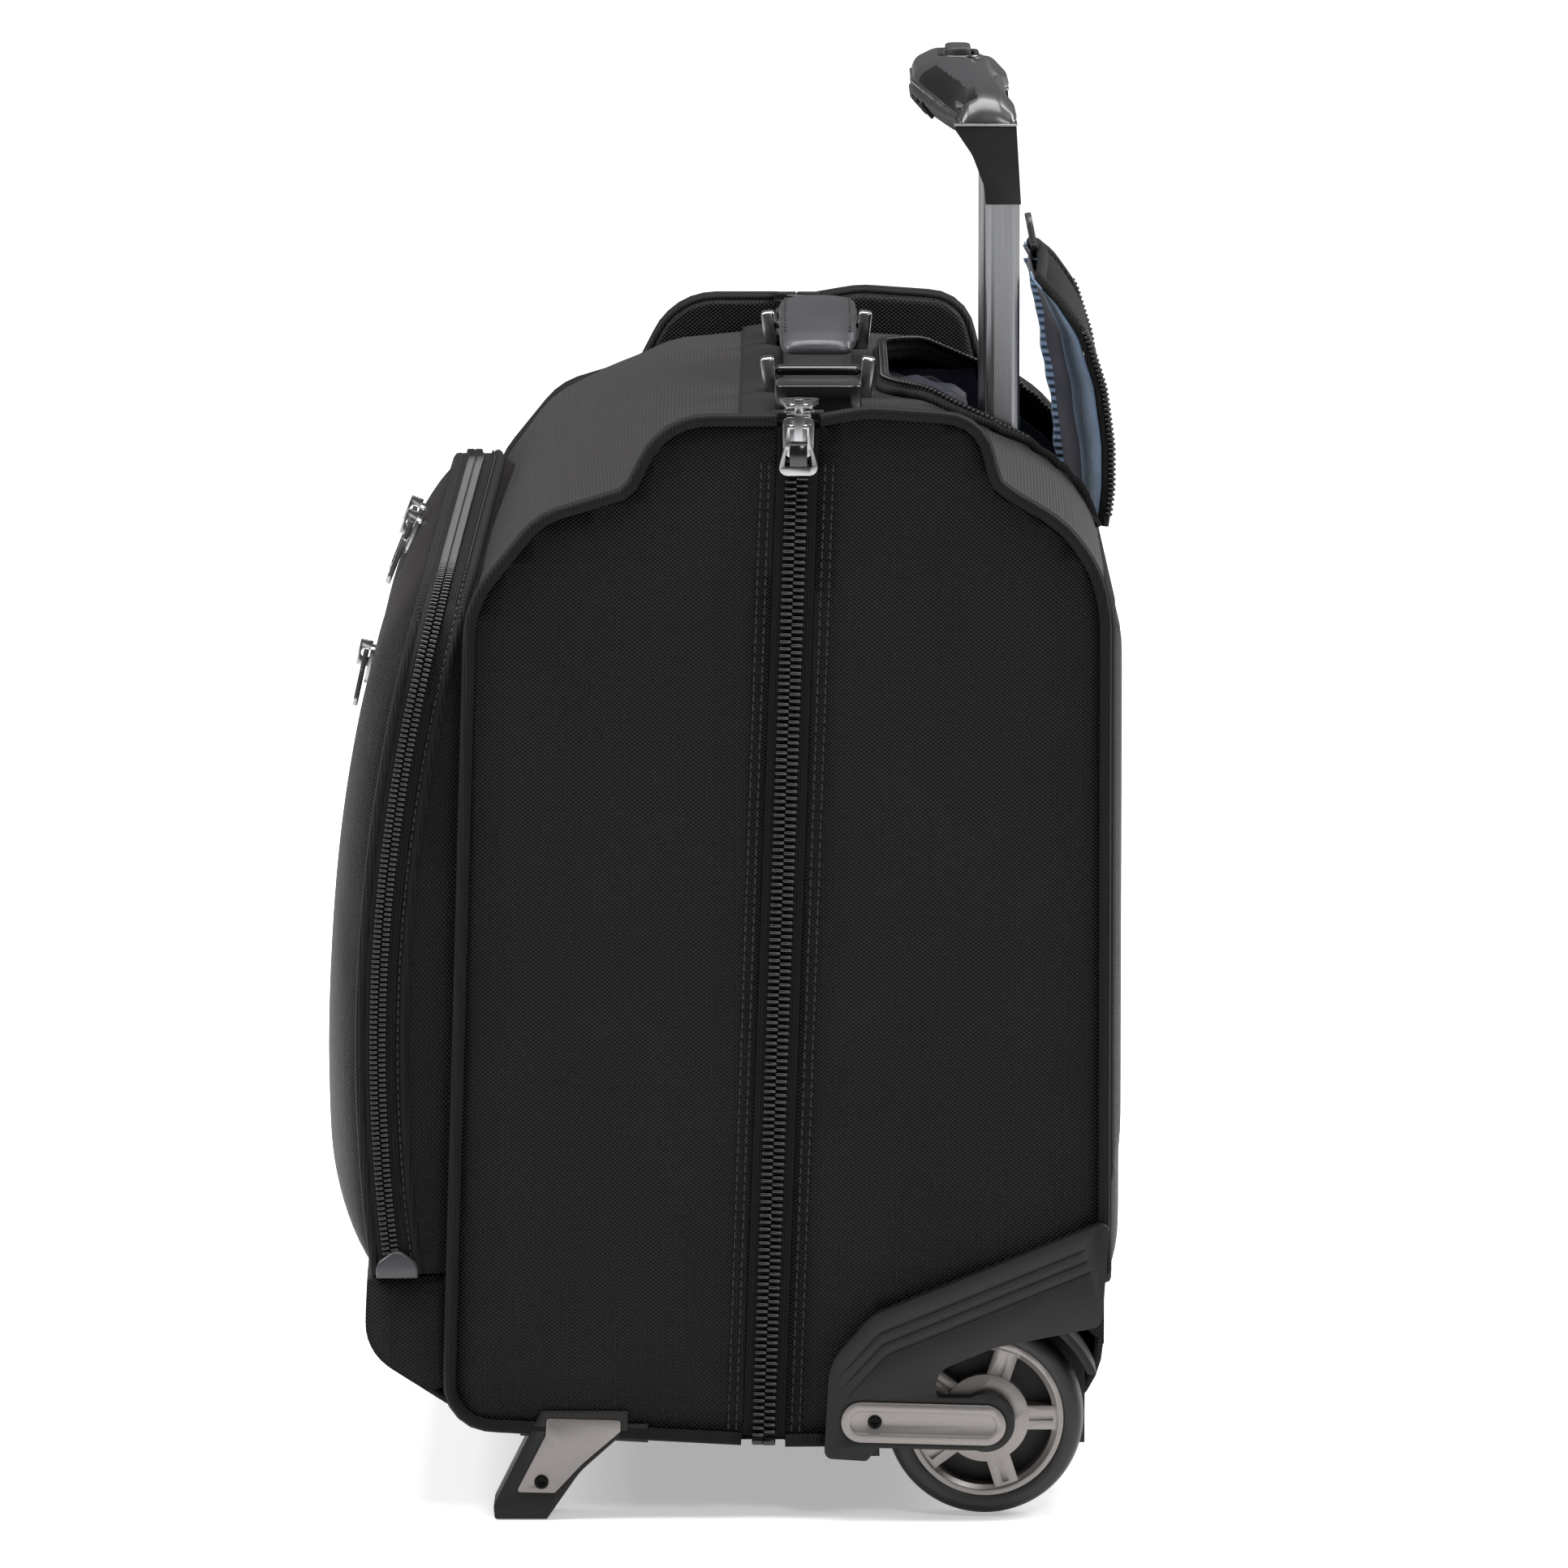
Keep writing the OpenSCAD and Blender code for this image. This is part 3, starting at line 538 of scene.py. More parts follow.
def sheet_mesh(place: Callable[[float, float], Vector], nu: int, nv: int, width: float, length: float,
               flip: bool = False) -> bmesh.types.BMesh:
    """Lays a grid over a surface that a function gives, with its UV in metres.

    Args:
        place: gives the point, in millimetres, for u and v from 0 to 1.
        nu: spans along u.
        nv: spans along v.
        width: the sheet's size along u, in millimetres.
        length: the sheet's size along v, in millimetres.
        flip: whether the faces are turned over.

    Returns:
        The sheet, in metres.
    """
    bm = bmesh.new()
    bmesh.ops.create_grid(bm, x_segments=nu, y_segments=nv, size=0.5)
    layer = bm.loops.layers.uv.new("metres")
    where = {v: (v.co.x + 0.5, v.co.y + 0.5) for v in bm.verts}
    for face in bm.faces:
        for loop in face.loops:
            u, v = where[loop.vert]
            loop[layer].uv = (u * width * MM, v * length * MM)
    for vert, (u, v) in where.items():
        vert.co = place(u, v) * MM
    if flip:
        bmesh.ops.reverse_faces(bm, faces=bm.faces[:])
    bm.normal_update()
    return bm


def panel_mesh(outline: Sequence[Point], x: float, cell: float, lift: Callable[[Vector], float],
               outward: float) -> bmesh.types.BMesh:
    """Cuts a flat panel from an outline, facing along X, and pads it.

    Args:
        outline: [y, z] points in millimetres.
        x: the panel's X, in millimetres.
        cell: the spacing of the cuts, in millimetres.
        lift: how far a point stands out, in millimetres.
        outward: 1 for a panel that faces +X, -1 for one that faces -X.

    Returns:
        The panel, in metres.
    """
    bm = bmesh.new()
    bm.faces.new([bm.verts.new((x, y, z)) for y, z in outline])
    for axis in (1, 2):
        low = min(p[axis - 1] for p in outline)
        high = max(p[axis - 1] for p in outline)
        for i in range(1, int((high - low) / cell) + 1):
            spot, normal = Vector((x, 0, 0)), Vector((0, 0, 0))
            spot[axis] = low + i * cell
            normal[axis] = 1
            bmesh.ops.bisect_plane(bm, geom=bm.verts[:] + bm.edges[:] + bm.faces[:], plane_co=spot,
                                   plane_no=normal)
    bmesh.ops.triangulate(bm, faces=[f for f in bm.faces if len(f.verts) > 4])
    for vert in bm.verts:
        vert.co.x += outward * lift(vert.co)
        vert.co *= MM
    bm.normal_update()
    if sum(f.normal.x * f.calc_area() for f in bm.faces) * outward < 0:
        bmesh.ops.reverse_faces(bm, faces=bm.faces[:])
    bm.normal_update()
    return bm


def edge_distance(y: float, z: float, outline: Sequence[Point]) -> float:
    """Returns the distance from a point to an outline's nearest side, in its own units.

    Args:
        y: the place from front to back, in millimetres.
        z: the height in millimetres.
        outline: the outline in millimetres.
    """
    spot, best = Vector((y, z)), 1e9
    for a, b in zip(outline, list(outline[1:]) + [outline[0]]):
        start, run = Vector(a), Vector(b) - Vector(a)
        t = max(0.0, min(1.0, (spot - start).dot(run) / max(run.length_squared, 1e-9)))
        best = min(best, (start + run * t - spot).length)
    return best


def face_out(bm: bmesh.types.BMesh, way: Point3, picked: Callable[[Vector], bool] | None = None) -> None:
    """Turns a sheet over where its first picked face looks away from a direction.

    Args:
        bm: the sheet.
        way: the direction that it should face.
        picked: picks a face by its centre in metres, or None for the first face.
    """
    bm.normal_update()
    first = next(f for f in bm.faces if picked is None or picked(f.calc_center_median()))
    if first.normal.dot(Vector(way)) < 0:
        bmesh.ops.reverse_faces(bm, faces=bm.faces[:])


def tube_mesh(path: Sequence[Vector], radius: float, sides: int = 3) -> bmesh.types.BMesh:
    """Sweeps a round section along a path.

    Args:
        path: points in millimetres.
        radius: the section's radius, in millimetres.
        sides: the curve's bevel resolution.

    Returns:
        The tube, in metres, with closed ends.
    """
    curve = bpy.data.curves.new("sweep", "CURVE")
    curve.dimensions = "3D"
    curve.bevel_depth = radius * MM
    curve.bevel_resolution = sides
    curve.use_fill_caps = True
    spline = curve.splines.new("POLY")
    spline.points.add(len(path) - 1)
    for point, spot in zip(spline.points, path):
        point.co = (*(Vector(spot) * MM), 1.0)
    holder = bpy.data.objects.new("sweep", curve)
    bpy.context.scene.collection.objects.link(holder)
    mesh = bpy.data.meshes.new_from_object(holder.evaluated_get(bpy.context.evaluated_depsgraph_get()))
    bm = bmesh.new()
    bm.from_mesh(mesh)
    bpy.data.objects.remove(holder)
    bpy.data.curves.remove(curve)
    bpy.data.meshes.remove(mesh)
    bmesh.ops.remove_doubles(bm, verts=bm.verts, dist=1e-6)
    bmesh.ops.recalc_face_normals(bm, faces=bm.faces)
    return bm


def block_mesh(size: Vector, bevel: float, segments: int = 1) -> bpy.types.Mesh:
    """Makes a small rounded block at the origin, in metres, for copying.

    Args:
        size: its sides in millimetres.
        bevel: the radius of its edges in millimetres.
        segments: spans in each edge.

    Returns:
        The block's mesh.
    """
    bm = bmesh.new()
    bmesh.ops.create_cube(bm, size=1.0)
    bmesh.ops.scale(bm, vec=size * MM, verts=bm.verts)
    bmesh.ops.bevel(bm, geom=bm.edges[:], offset=bevel * MM, affect="EDGES", segments=segments,
                    profile=0.5, material=-1)
    mesh = bpy.data.meshes.new("block")
    bm.to_mesh(mesh)
    bm.free()
    return mesh


def copies(block: bpy.types.Mesh, places: Sequence[Matrix]) -> bmesh.types.BMesh:
    """Joins copies of a block, one at each place.

    Args:
        block: the mesh to copy.
        places: a matrix for each copy.

    Returns:
        The joined copies.
    """
    bm = bmesh.new()
    for place in places:
        start = len(bm.verts)
        bm.from_mesh(block)
        bm.verts.ensure_lookup_table()
        bmesh.ops.transform(bm, matrix=place, verts=bm.verts[start:])
    return bm


def along(path: Sequence[Vector], pitch: float, out: Callable[[Vector], Vector], shift: float = 0.0,
          aside: float = 0.0) -> list[Matrix]:
    """Gives evenly spaced places along a path, X along it and Z outwards.

    Args:
        path: points in millimetres.
        pitch: the spacing in millimetres.
        out: gives the outward direction at a point.
        shift: how far the first place is from the start, in pitches.
        aside: a step sideways, in millimetres.

    Returns:
        A matrix for each place, in metres.
    """
    count = int(length_of(path) / pitch)
    spots = resampled(path, count + 1)
    places = []
    for i in range(count):
        run = (spots[i + 1] - spots[i]).normalized()
        side = out(spots[i]).cross(run).normalized()
        up = run.cross(side)
        spot = spots[i].lerp(spots[i + 1], shift) + side * aside
        turn = Matrix((run, side, up)).transposed().to_4x4()
        places.append(Matrix.Translation(spot * MM) @ turn)
    return places


def soften(frame: dict, node: str, finish: Finish, body: str, slot: str, radius: float = 0.5,
           segments: int = 2, angle: float = 32.0) -> bpy.types.Object:
    """Copies a CAD node with its sharp edges rounded, as a mould or a tumbler leaves them.

    Args:
        frame: the loaded frame.
        node: the CAD node's name.
        finish: its finish.
        body: the body it rides on.
        slot: the record's material slot.
        radius: the radius of its edges in millimetres.
        segments: spans in each edge.
        angle: the least angle of an edge that is rounded, in degrees.

    Returns:
        The piece.
    """
    bm = bmesh.new()
    bm.from_mesh(frame["nodes"][node].data)
    bmesh.ops.remove_doubles(bm, verts=bm.verts, dist=2e-6)
    bmesh.ops.dissolve_limit(bm, angle_limit=math.radians(1.0), verts=bm.verts, edges=bm.edges)
    sharp = [e for e in bm.edges if len(e.link_faces) == 2
             and e.calc_face_angle(0.0) > math.radians(angle)]
    bmesh.ops.bevel(bm, geom=sharp, offset=radius * MM, affect="EDGES", segments=segments, profile=0.5,
                    material=-1, clamp_overlap=True)
    for layer in list(bm.loops.layers.uv):
        bm.loops.layers.uv.remove(layer)
    bm.normal_update()
    box_uv(bm)
    piece = finish_piece(bm, f"{node}_finished", body, [finish], slot, True, [node])
    piece.data.set_sharp_from_angle(angle=math.radians(40))
    return piece


def thicken(piece: bpy.types.Object, thickness: float, inner: int = 0) -> None:
    """Gives a sheet its thickness, inwards.

    Args:
        piece: the sheet.
        thickness: in millimetres.
        inner: how many slots further on the inner face's material is.
    """
    wall = piece.modifiers.new("wall", "SOLIDIFY")
    wall.thickness = thickness * MM
    wall.offset = -1.0
    wall.material_offset = inner
    wall.material_offset_rim = 0


def smooth_more(piece: bpy.types.Object, levels: int = 1) -> None:
    """Adds a Subdivision Surface modifier with equal viewport and render levels.

    Args:
        piece: the piece.
        levels: how many times the faces are split.
    """
    sub = piece.modifiers.new("smooth", "SUBSURF")
    sub.levels = levels
    sub.render_levels = levels


def ripple(spot: Vector, size: float, height: float, seed: float) -> float:
    """Returns a smooth random height in millimetres at a point in millimetres.

    Args:
        spot: the point.
        size: the width of a ripple.
        height: the largest height.
        seed: moves the pattern.
    """
    return height * noise.noise(Vector(spot) / size + Vector((seed, seed * 2.3, 0)))


def prism_mesh(outline: Sequence[Point], x0: float, x1: float, bevel: float,
               segments: int = 3) -> bmesh.types.BMesh:
    """Extrudes a [y, z] outline along X and rounds its two rims.

    Args:
        outline: points in millimetres.
        x0: the first end's X.
        x1: the second end's X.
        bevel: the radius of the rims.
        segments: spans in each rim.

    Returns:
        The prism, in metres.
    """
    bm = bmesh.new()
    face = bm.faces.new([bm.verts.new(Vector((x0, y, z)) * MM) for y, z in outline])
    grown = bmesh.ops.extrude_face_region(bm, geom=[face])
    moved = [g for g in grown["geom"] if isinstance(g, bmesh.types.BMVert)]
    bmesh.ops.translate(bm, vec=Vector(((x1 - x0) * MM, 0, 0)), verts=moved)
    bmesh.ops.recalc_face_normals(bm, faces=bm.faces)
    rims = [e for e in bm.edges if abs(e.verts[0].co.x - e.verts[1].co.x) < 1e-7]
    bmesh.ops.bevel(bm, geom=rims, offset=bevel * MM, affect="EDGES", segments=segments, profile=0.5,
                    material=-1, clamp_overlap=True)
    return bm


def close_back(bm: bmesh.types.BMesh, back: Callable[[float], float]) -> None:
    """Closes a swollen face into a pad with a back of its own.

    Args:
        bm: the face, in metres.
        back: the back's Y at a height, both in millimetres.
    """
    grown = bmesh.ops.extrude_face_region(bm, geom=bm.faces[:], use_keep_orig=True)
    for vert in (g for g in grown["geom"] if isinstance(g, bmesh.types.BMVert)):
        vert.co.y = back(vert.co.z / MM) * MM
    bmesh.ops.recalc_face_normals(bm, faces=bm.faces)


def inflate(piece: bpy.types.Object, voxel: float, cap: float, pressure: float = 4.0,
            steps: int = 14) -> None:
    """Swells a closed piece with air pressure in a cloth simulation, and caps how far a point moves.

    Args:
        piece: the closed piece, in metres.
        voxel: the size of the remesh in millimetres, or 0 where its own grid is even enough.
        cap: the furthest that a point may move, in millimetres.
        pressure: the air pressure inside.
        steps: frames to run.
    """
    if voxel:
        remesh = piece.modifiers.new("even", "REMESH")
        remesh.mode = "VOXEL"
        remesh.voxel_size = voxel * MM
        settle(piece)
    start = [v.co.copy() for v in piece.data.vertices]
    cloth = piece.modifiers.new("air", "CLOTH")
    cloth.settings.use_pressure = True
    cloth.settings.uniform_pressure_force = pressure
    cloth.settings.effector_weights.gravity = 0
    cloth.settings.quality = 4
    cloth.point_cache.frame_start = 1
    cloth.point_cache.frame_end = steps
    scene = bpy.context.scene
    for frame in range(1, steps + 1):
        scene.frame_set(frame)
    settle(piece)
    for vert, was in zip(piece.data.vertices, start):
        move = vert.co - was
        if move.length > cap * MM:
            vert.co = was + move.normalized() * cap * MM
    scene.frame_set(1)


def settle(piece: bpy.types.Object) -> None:
    """Applies a piece's modifiers, so that its mesh keeps what they made.

    Args:
        piece: the piece.
    """
    graph = bpy.context.evaluated_depsgraph_get()
    made = bpy.data.meshes.new_from_object(piece.evaluated_get(graph))
    piece.modifiers.clear()
    piece.data = made


def dress(piece: bpy.types.Object, finish: Finish) -> None:
    """Gives a remeshed piece flat UVs in metres, smooth faces and its finish.

    Args:
        piece: the remeshed piece.
        finish: its finish.
    """
    bm = bmesh.new()
    bm.from_mesh(piece.data)
    bm.normal_update()
    box_uv(bm)
    for face in bm.faces:
        face.smooth = True
    bm.to_mesh(piece.data)
    bm.free()
    piece.data.materials.clear()
    piece.data.materials.append(finish.material())


# ---------------------------------------------------------------- sub-assemblies
@dataclass
class Shell:
    """The two padded half shells: crowned top, front, back and bottom sheets between the side panels."""

    half_width: float = 271.5
    wall: float = 3.2
    spans: int = 56
    crown_power: float = 2.6
    # Half width, front and floor of the handle's recess, then inner side, front and top of each wheel well.
    recess: tuple[float, float, float] = (122.5, 56.5, 358.0)
    well: tuple[float, float, float] = (238.0, 49.0, 84.0)
    front_lines: tuple[list[Corner], list[Corner]] = field(default_factory=lambda: (
        [(10, 401, 0), (-24, 397, 22), (-42, 386, 20), (-72, 376.5, 26), (-98, 345, 34), (-107, 36, 16),
         (3.3, 30, 0)],
        [(10, 409, 0), (-28, 408.5, 22), (-52, 400, 30), (-78, 383, 40), (-100, 350, 36), (-110, 34, 18),
         (3.3, 28, 0)]))
    rear_lines: tuple[list[Corner], list[Corner]] = field(default_factory=lambda: (
        [(32, 401, 0), (72, 398, 20), (106, 384, 30), (139, 366, 48), (139, 28, 34), (19, 29.5, 0)],
        [(32, 408.5, 0), (74, 408, 24), (112, 392, 40), (141, 372, 48), (141, 27, 34), (19, 28, 0)]))

    def profile(self, lines: tuple[list[Corner], list[Corner]], x: float) -> list[Vector]:
        """Returns a sheet's [y, z] profile at X, all in millimetres.

        Args:
            lines: the profile at the sides and in the middle.
            x: the distance from the middle.
        """
        weight = 1 - min(1.0, abs(x) / self.half_width) ** self.crown_power
        ends, mids = (resampled(rounded(line, 8, False), 241) for line in lines)
        return [a.lerp(b, weight) for a, b in zip(ends, mids)]

    def top_at(self, x: float, y: float) -> float:
        """Returns the rear sheet's height at a point of its top, in millimetres.

        Args:
            x: the place across the case, in millimetres.
            y: the place from front to back, in millimetres.
        """
        return min((p for p in self.profile(self.rear_lines, x) if p.y > 340),
                   key=lambda p: abs(p.x - y)).y

    def front_at(self, x: float, z: float) -> float:
        """Returns the front sheet's Y at a height, in millimetres.

        Args:
            x: the place across the case, in millimetres.
            z: the height in millimetres.
        """
        return min((p for p in self.profile(self.front_lines, x) if p.x < -50),
                   key=lambda p: abs(p.y - z)).x

    def recess_rim(self) -> None:
        """Builds the raised zip flange round the handle's recess."""
        plan = rounded([(122.5, 139, 0), (122.5, 56, 48), (-122.5, 56, 48), (-122.5, 139, 0)], 12, False)
        plan_points = [p.copy() for p in resampled(plan, 150)]
        spots = [Vector((p.x, p.y, self.top_at(p.x, p.y))) for p in plan_points]
        count = len(spots) - 1

        def stand(i: int) -> float:
            """Returns how high the flange stands at a point of its plan, in millimetres."""
            return 6.5 * math.sin(math.pi * i / count) ** 0.4

        def place(u: float, v: float) -> Vector:
            """Returns the sheet's point at U and V, in millimetres."""
            i = round(u * count)
            x, y, z = spots[i]
            lean = Vector((-x / 122.5, (95 - y) / 60, 0)) * 3.0 * v
            return Vector((x, y, z - 4 + (stand(i) + 4) * v)) + lean
        bm = sheet_mesh(place, count, 4, length_of(plan), 10)
        thicken(finish_piece(bm, "recess_flange", "rear_half", [Finish.TAPE], "zip_coil"), 1.2)
        crest = [place(i / count, 0.9) + Vector((0, 0, 0.2)) for i in range(count + 1)]
        Zip(1.9, (1.3, 3.6, 1.7), 5.0).row("recess_zip", "rear_half", crest, lambda spot: Vector((0, 0, 1)),
                                           0.0, 0.5)
        foot = [p + Vector((0, 0, 1.0)) for p in spots]
        finish_piece(tube_mesh(foot, 1.9, 2), "recess_piping", "rear_half", [Finish.BINDING], "piping")
        middle = Vector((0, 95))

        def corner(u: float, v: float) -> Vector:
            """Returns a point of the cloth that fills the corners outside the flange."""
            ray = Vector(plan_points[round(u * count)]) - middle
            reach = min(124.5 / max(abs(ray.x), 1e-6), 40.5 / -ray.y if ray.y < 0 else 99.0)
            spot = middle + ray * (1 + (max(reach, 1.0) - 1) * v)
            return Vector((spot.x, spot.y, self.top_at(spot.x, min(spot.y, 138)) - 0.4))
        bm = sheet_mesh(corner, count, 4, length_of(plan), 16)
        bm.normal_update()
        if bm.faces[:][len(bm.faces) // 2].normal.z < 0:
            bmesh.ops.reverse_faces(bm, faces=bm.faces[:])
        thicken(finish_piece(bm, "recess_corner_cloth", "rear_half", [Finish.TWILL], "ballistic_nylon"), 1.6)

    def loft(self, side: Sequence[Corner], middle: Sequence[Corner], round_spans: int,
             flip: bool) -> bmesh.types.BMesh:
        """Lofts a sheet along X between its profile at the sides and its fuller profile in the middle.

        Args:
            side: open profile of [y, z, radius] corners at the side panels.
            middle: the profile in the middle, with as many corners.
            round_spans: spans round the profile.
            flip: whether the faces are turned over.

        Returns:
            The sheet, in metres.
        """
        count = round_spans + 1
        ends = [p.copy() for p in resampled(rounded(side, 8, False), count)]
        mids = [p.copy() for p in resampled(rounded(middle, 8, False), count)]

        def place(u: float, v: float) -> Vector:
            """Returns the sheet's point at U and V, in millimetres."""
            x = (2 * u - 1) * self.half_width
            weight = 1 - abs(2 * u - 1) ** self.crown_power
            spot = ends[round(v * round_spans)].lerp(mids[round(v * round_spans)], weight)
            sag = ripple(Vector((x, spot.x * 1.3, spot.y)), 90.0, 1.1 * weight, 3.0)
            return Vector((x, spot.x + sag, spot.y + 0.4 * sag))

        return sheet_mesh(place, self.spans, round_spans, 2 * self.half_width,
                          length_of(rounded(side, 8, False)), flip)

    def front(self) -> None:
        """Builds the front half's sheet."""
        bm = self.loft(*self.front_lines, 84, True)
        self.dress_sheet(bm, "front_shell_cloth", "front_half", ["front_shell"])

    def rear(self) -> None:
        """Builds the rear half's sheet, open at the handle's recess and the wheel wells."""
        bm = self.loft(*self.rear_lines, 84, False)
        for half, front, level in (self.recess, self.well):
            for spot, way in (((half, 0, 0), (1, 0, 0)), ((-half, 0, 0), (1, 0, 0)),
                              ((0, front, 0), (0, 1, 0)), ((0, 0, level), (0, 0, 1))):
                bmesh.ops.bisect_plane(bm, geom=bm.verts[:] + bm.edges[:] + bm.faces[:],
                                       plane_co=[c / 1000 for c in spot], plane_no=way, dist=1e-6)
        cut = []
        for face in bm.faces:
            x, y, z = face.calc_center_median() / MM
            recess = abs(x) < self.recess[0] and y > self.recess[1] and z > self.recess[2]
            well = abs(x) > self.well[0] and y > self.well[1] and z < self.well[2]
            if recess or well:
                cut.append(face)
        bmesh.ops.delete(bm, geom=cut, context="FACES")
        self.dress_sheet(bm, "rear_shell_cloth", "rear_half", ["rear_shell"])

    def dress_sheet(self, bm: bmesh.types.BMesh, name: str, body: str, nodes: Sequence[str]) -> None:
        """Finishes a sheet with ribbed cloth outside and lining inside, and gives it its thickness.

        Args:
            bm: the sheet.
            name: the piece's name.
            body: the body it rides on.
            nodes: the CAD nodes it stands for.
        """
        piece = finish_piece(bm, name, body, [Finish.TWILL, Finish.NAVY], "ballistic_nylon", True, nodes)
        thicken(piece, self.wall, 1)

    def spine(self) -> None:
        """Builds the spine between the halves and the web that the fold turns on."""
        def place(u: float, v: float) -> Vector:
            """Returns the sheet's point at U and V, in millimetres."""
            x = (2 * u - 1) * 258
            weight = 1 - abs(2 * u - 1) ** self.crown_power
            return Vector((x, 10 + 22.4 * v, 402 + 6.4 * weight))
        bm = sheet_mesh(place, 48, 6, 516, 22, True)
        piece = finish_piece(bm, "spine_cloth", "rear_half", [Finish.TWILL], "ballistic_nylon", True,
                             ["spine"])
        if piece.data.polygons[0].normal.z < 0:
            piece.data.flip_normals()
        thicken(piece, 3.0)

        def web(u: float, v: float) -> Vector:
            """Returns a point of the web that the fold turns on."""
            x = (2 * u - 1) * 256
            weight = 1 - abs(2 * u - 1) ** self.crown_power
            return Vector((x, 2 + 16 * v, 403.0 + 6.2 * weight + 1.2 * math.sin(math.pi * v)))
        bm = sheet_mesh(web, 48, 10, 512, 18)
        strip = finish_piece(bm, "fold_web", None, [Finish.BINDING], "ballistic_nylon")
        if strip.data.polygons[0].normal.z < 0:
            strip.data.flip_normals()
        thicken(strip, 0.9)
        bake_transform(strip)


@dataclass
class SidePanels:
    """The four padded side panels with their raised ears and the corded piping round them."""

    x: float = 272.0
    cell: float = 11.0
    pad: float = 2.6
    rim: float = 26.0
    cord: float = 2.5
    front: list[Corner] = field(default_factory=lambda: [
        (3.3, 30, 0), (16.5, 414, 0), (-25, 414, 26), (-39, 387, 6), (-72, 377, 26), (-98, 345, 34),
        (-107, 36, 16)])
    rear: list[Corner] = field(default_factory=lambda: [
        (19.4, 29.5, 0), (49, 29.8, 0), (49, 82, 40), (118, 84, 30), (139, 66, 0), (139, 366, 50),
        (107, 384, 9), (98, 390, 7), (92, 414, 17), (50, 417, 40), (32.6, 414, 0)])

    def build(self) -> None:
        """Builds the panels, ears and piping of both halves, on both sides."""
        for side, label in ((1, "right"), (-1, "left")):
            for half, corners in (("front", self.front), ("rear", self.rear)):
                self.panel(half, label, side, rounded(corners, 8))
            self.cords(label, side)
        self.ears()

    def panel(self, half: str, label: str, side: int, outline: Sequence[Point]) -> None:
        """Builds one padded side panel.

        Args:
            half: front or rear.
            label: right or left.
            side: 1 for the right, -1 for the left.
            outline: the panel's outline.
        """
        def lift(spot: Vector) -> float:
            """Returns how far the padding lifts the panel at a point."""
            away = edge_distance(spot.y, spot.z, outline)
            rise = self.pad * math.sin(math.pi / 2 * min(1.0, away / self.rim))
            return rise + ripple(spot, 75.0, 0.7, 5.0 + side) * min(1.0, away / 20)
        bm = panel_mesh(outline, side * self.x, self.cell, lift, side)
        piece = finish_piece(bm, f"{half}_side_panel_{label}", f"{half}_half", [Finish.NYLON, Finish.NAVY],
                             "ballistic_nylon")
        thicken(piece, 2.6, 1)

    def cords(self, label: str, side: int) -> None:
        """Sews a piping cord round each panel's free edge, with a flat lip beside it.

        Args:
            label: right or left.
            side: 1 for the right, -1 for the left.
        """
        lines = {
            "front": [(3.0, 30.2, 0), *self.front[:1:-1], (16.4, 414, 0)],
            "rear": [(139, 108, 0), *self.rear[5:-1], (32.7, 414, 0)],
            "rear_low": [(19.4, 29.6, 0), (36, 29.7, 0)]}
        for name, corners in lines.items():
            line = rounded(corners, 8, False)
            half = "front" if name == "front" else "rear"
            stands = [f"{half}_piping"] if label == "right" and name != "rear_low" else []
            path = resampled([Vector((side * (self.x + 0.8), y, z)) for y, z in line],
                             max(4, int(length_of(line) / 5)))
            bm = tube_mesh(path, self.cord, 3)
            finish_piece(bm, f"{name}_piping_cord_{label}", f"{half}_half", [Finish.BINDING], "piping", True,
                         stands)
            lip = [p + Vector((-side * 4.6, 0, 0)) for p in path]
            finish_piece(tube_mesh(lip, self.cord * 0.72, 2), f"{name}_piping_lip_{label}", f"{half}_half",
                         [Finish.BINDING], "piping")

    def ears(self) -> None:
        """Builds the thick padded ears that stand above the top on each side."""
        seam = zip_y(402)
        outlines = (
            ("front", Finish.NYLON, "pad", [(16.4, 388, 0), (16.5, 413.4, 0), (-24.5, 413.4, 26),
                                            (-38, 387, 6), (-42, 383, 0)]),
            ("rear", Finish.NYLON, "pad", [(31.7, 388, 0), (100, 383, 0), (97, 390, 6), (91.4, 413.4, 17),
                                           (50, 416.4, 40), (32.5, 413.4, 0)]),
            ("front", Finish.TAPE, "tape", [(15.8, 389, 0), (seam - 0.4, 389, 0), (seam - 0.4, 416.6, 0),
                                            (14.8, 416.6, 0)]),
            ("rear", Finish.TAPE, "tape", [(seam + 0.4, 389, 0), (32.8, 389, 0), (33.8, 416.6, 0),
                                           (seam + 0.4, 416.6, 0)]))
        for side, label in ((1, "right"), (-1, "left")):
            for half, finish, kind, outline in outlines:
                far = 271.0 if kind == "pad" else 270.4
                bm = prism_mesh(rounded(outline, 6), side * 259.5, side * far, 3.0 if kind == "pad" else 0.8)
                finish_piece(bm, f"{half}_ear_{kind}_{label}", f"{half}_half", [finish], "ballistic_nylon")


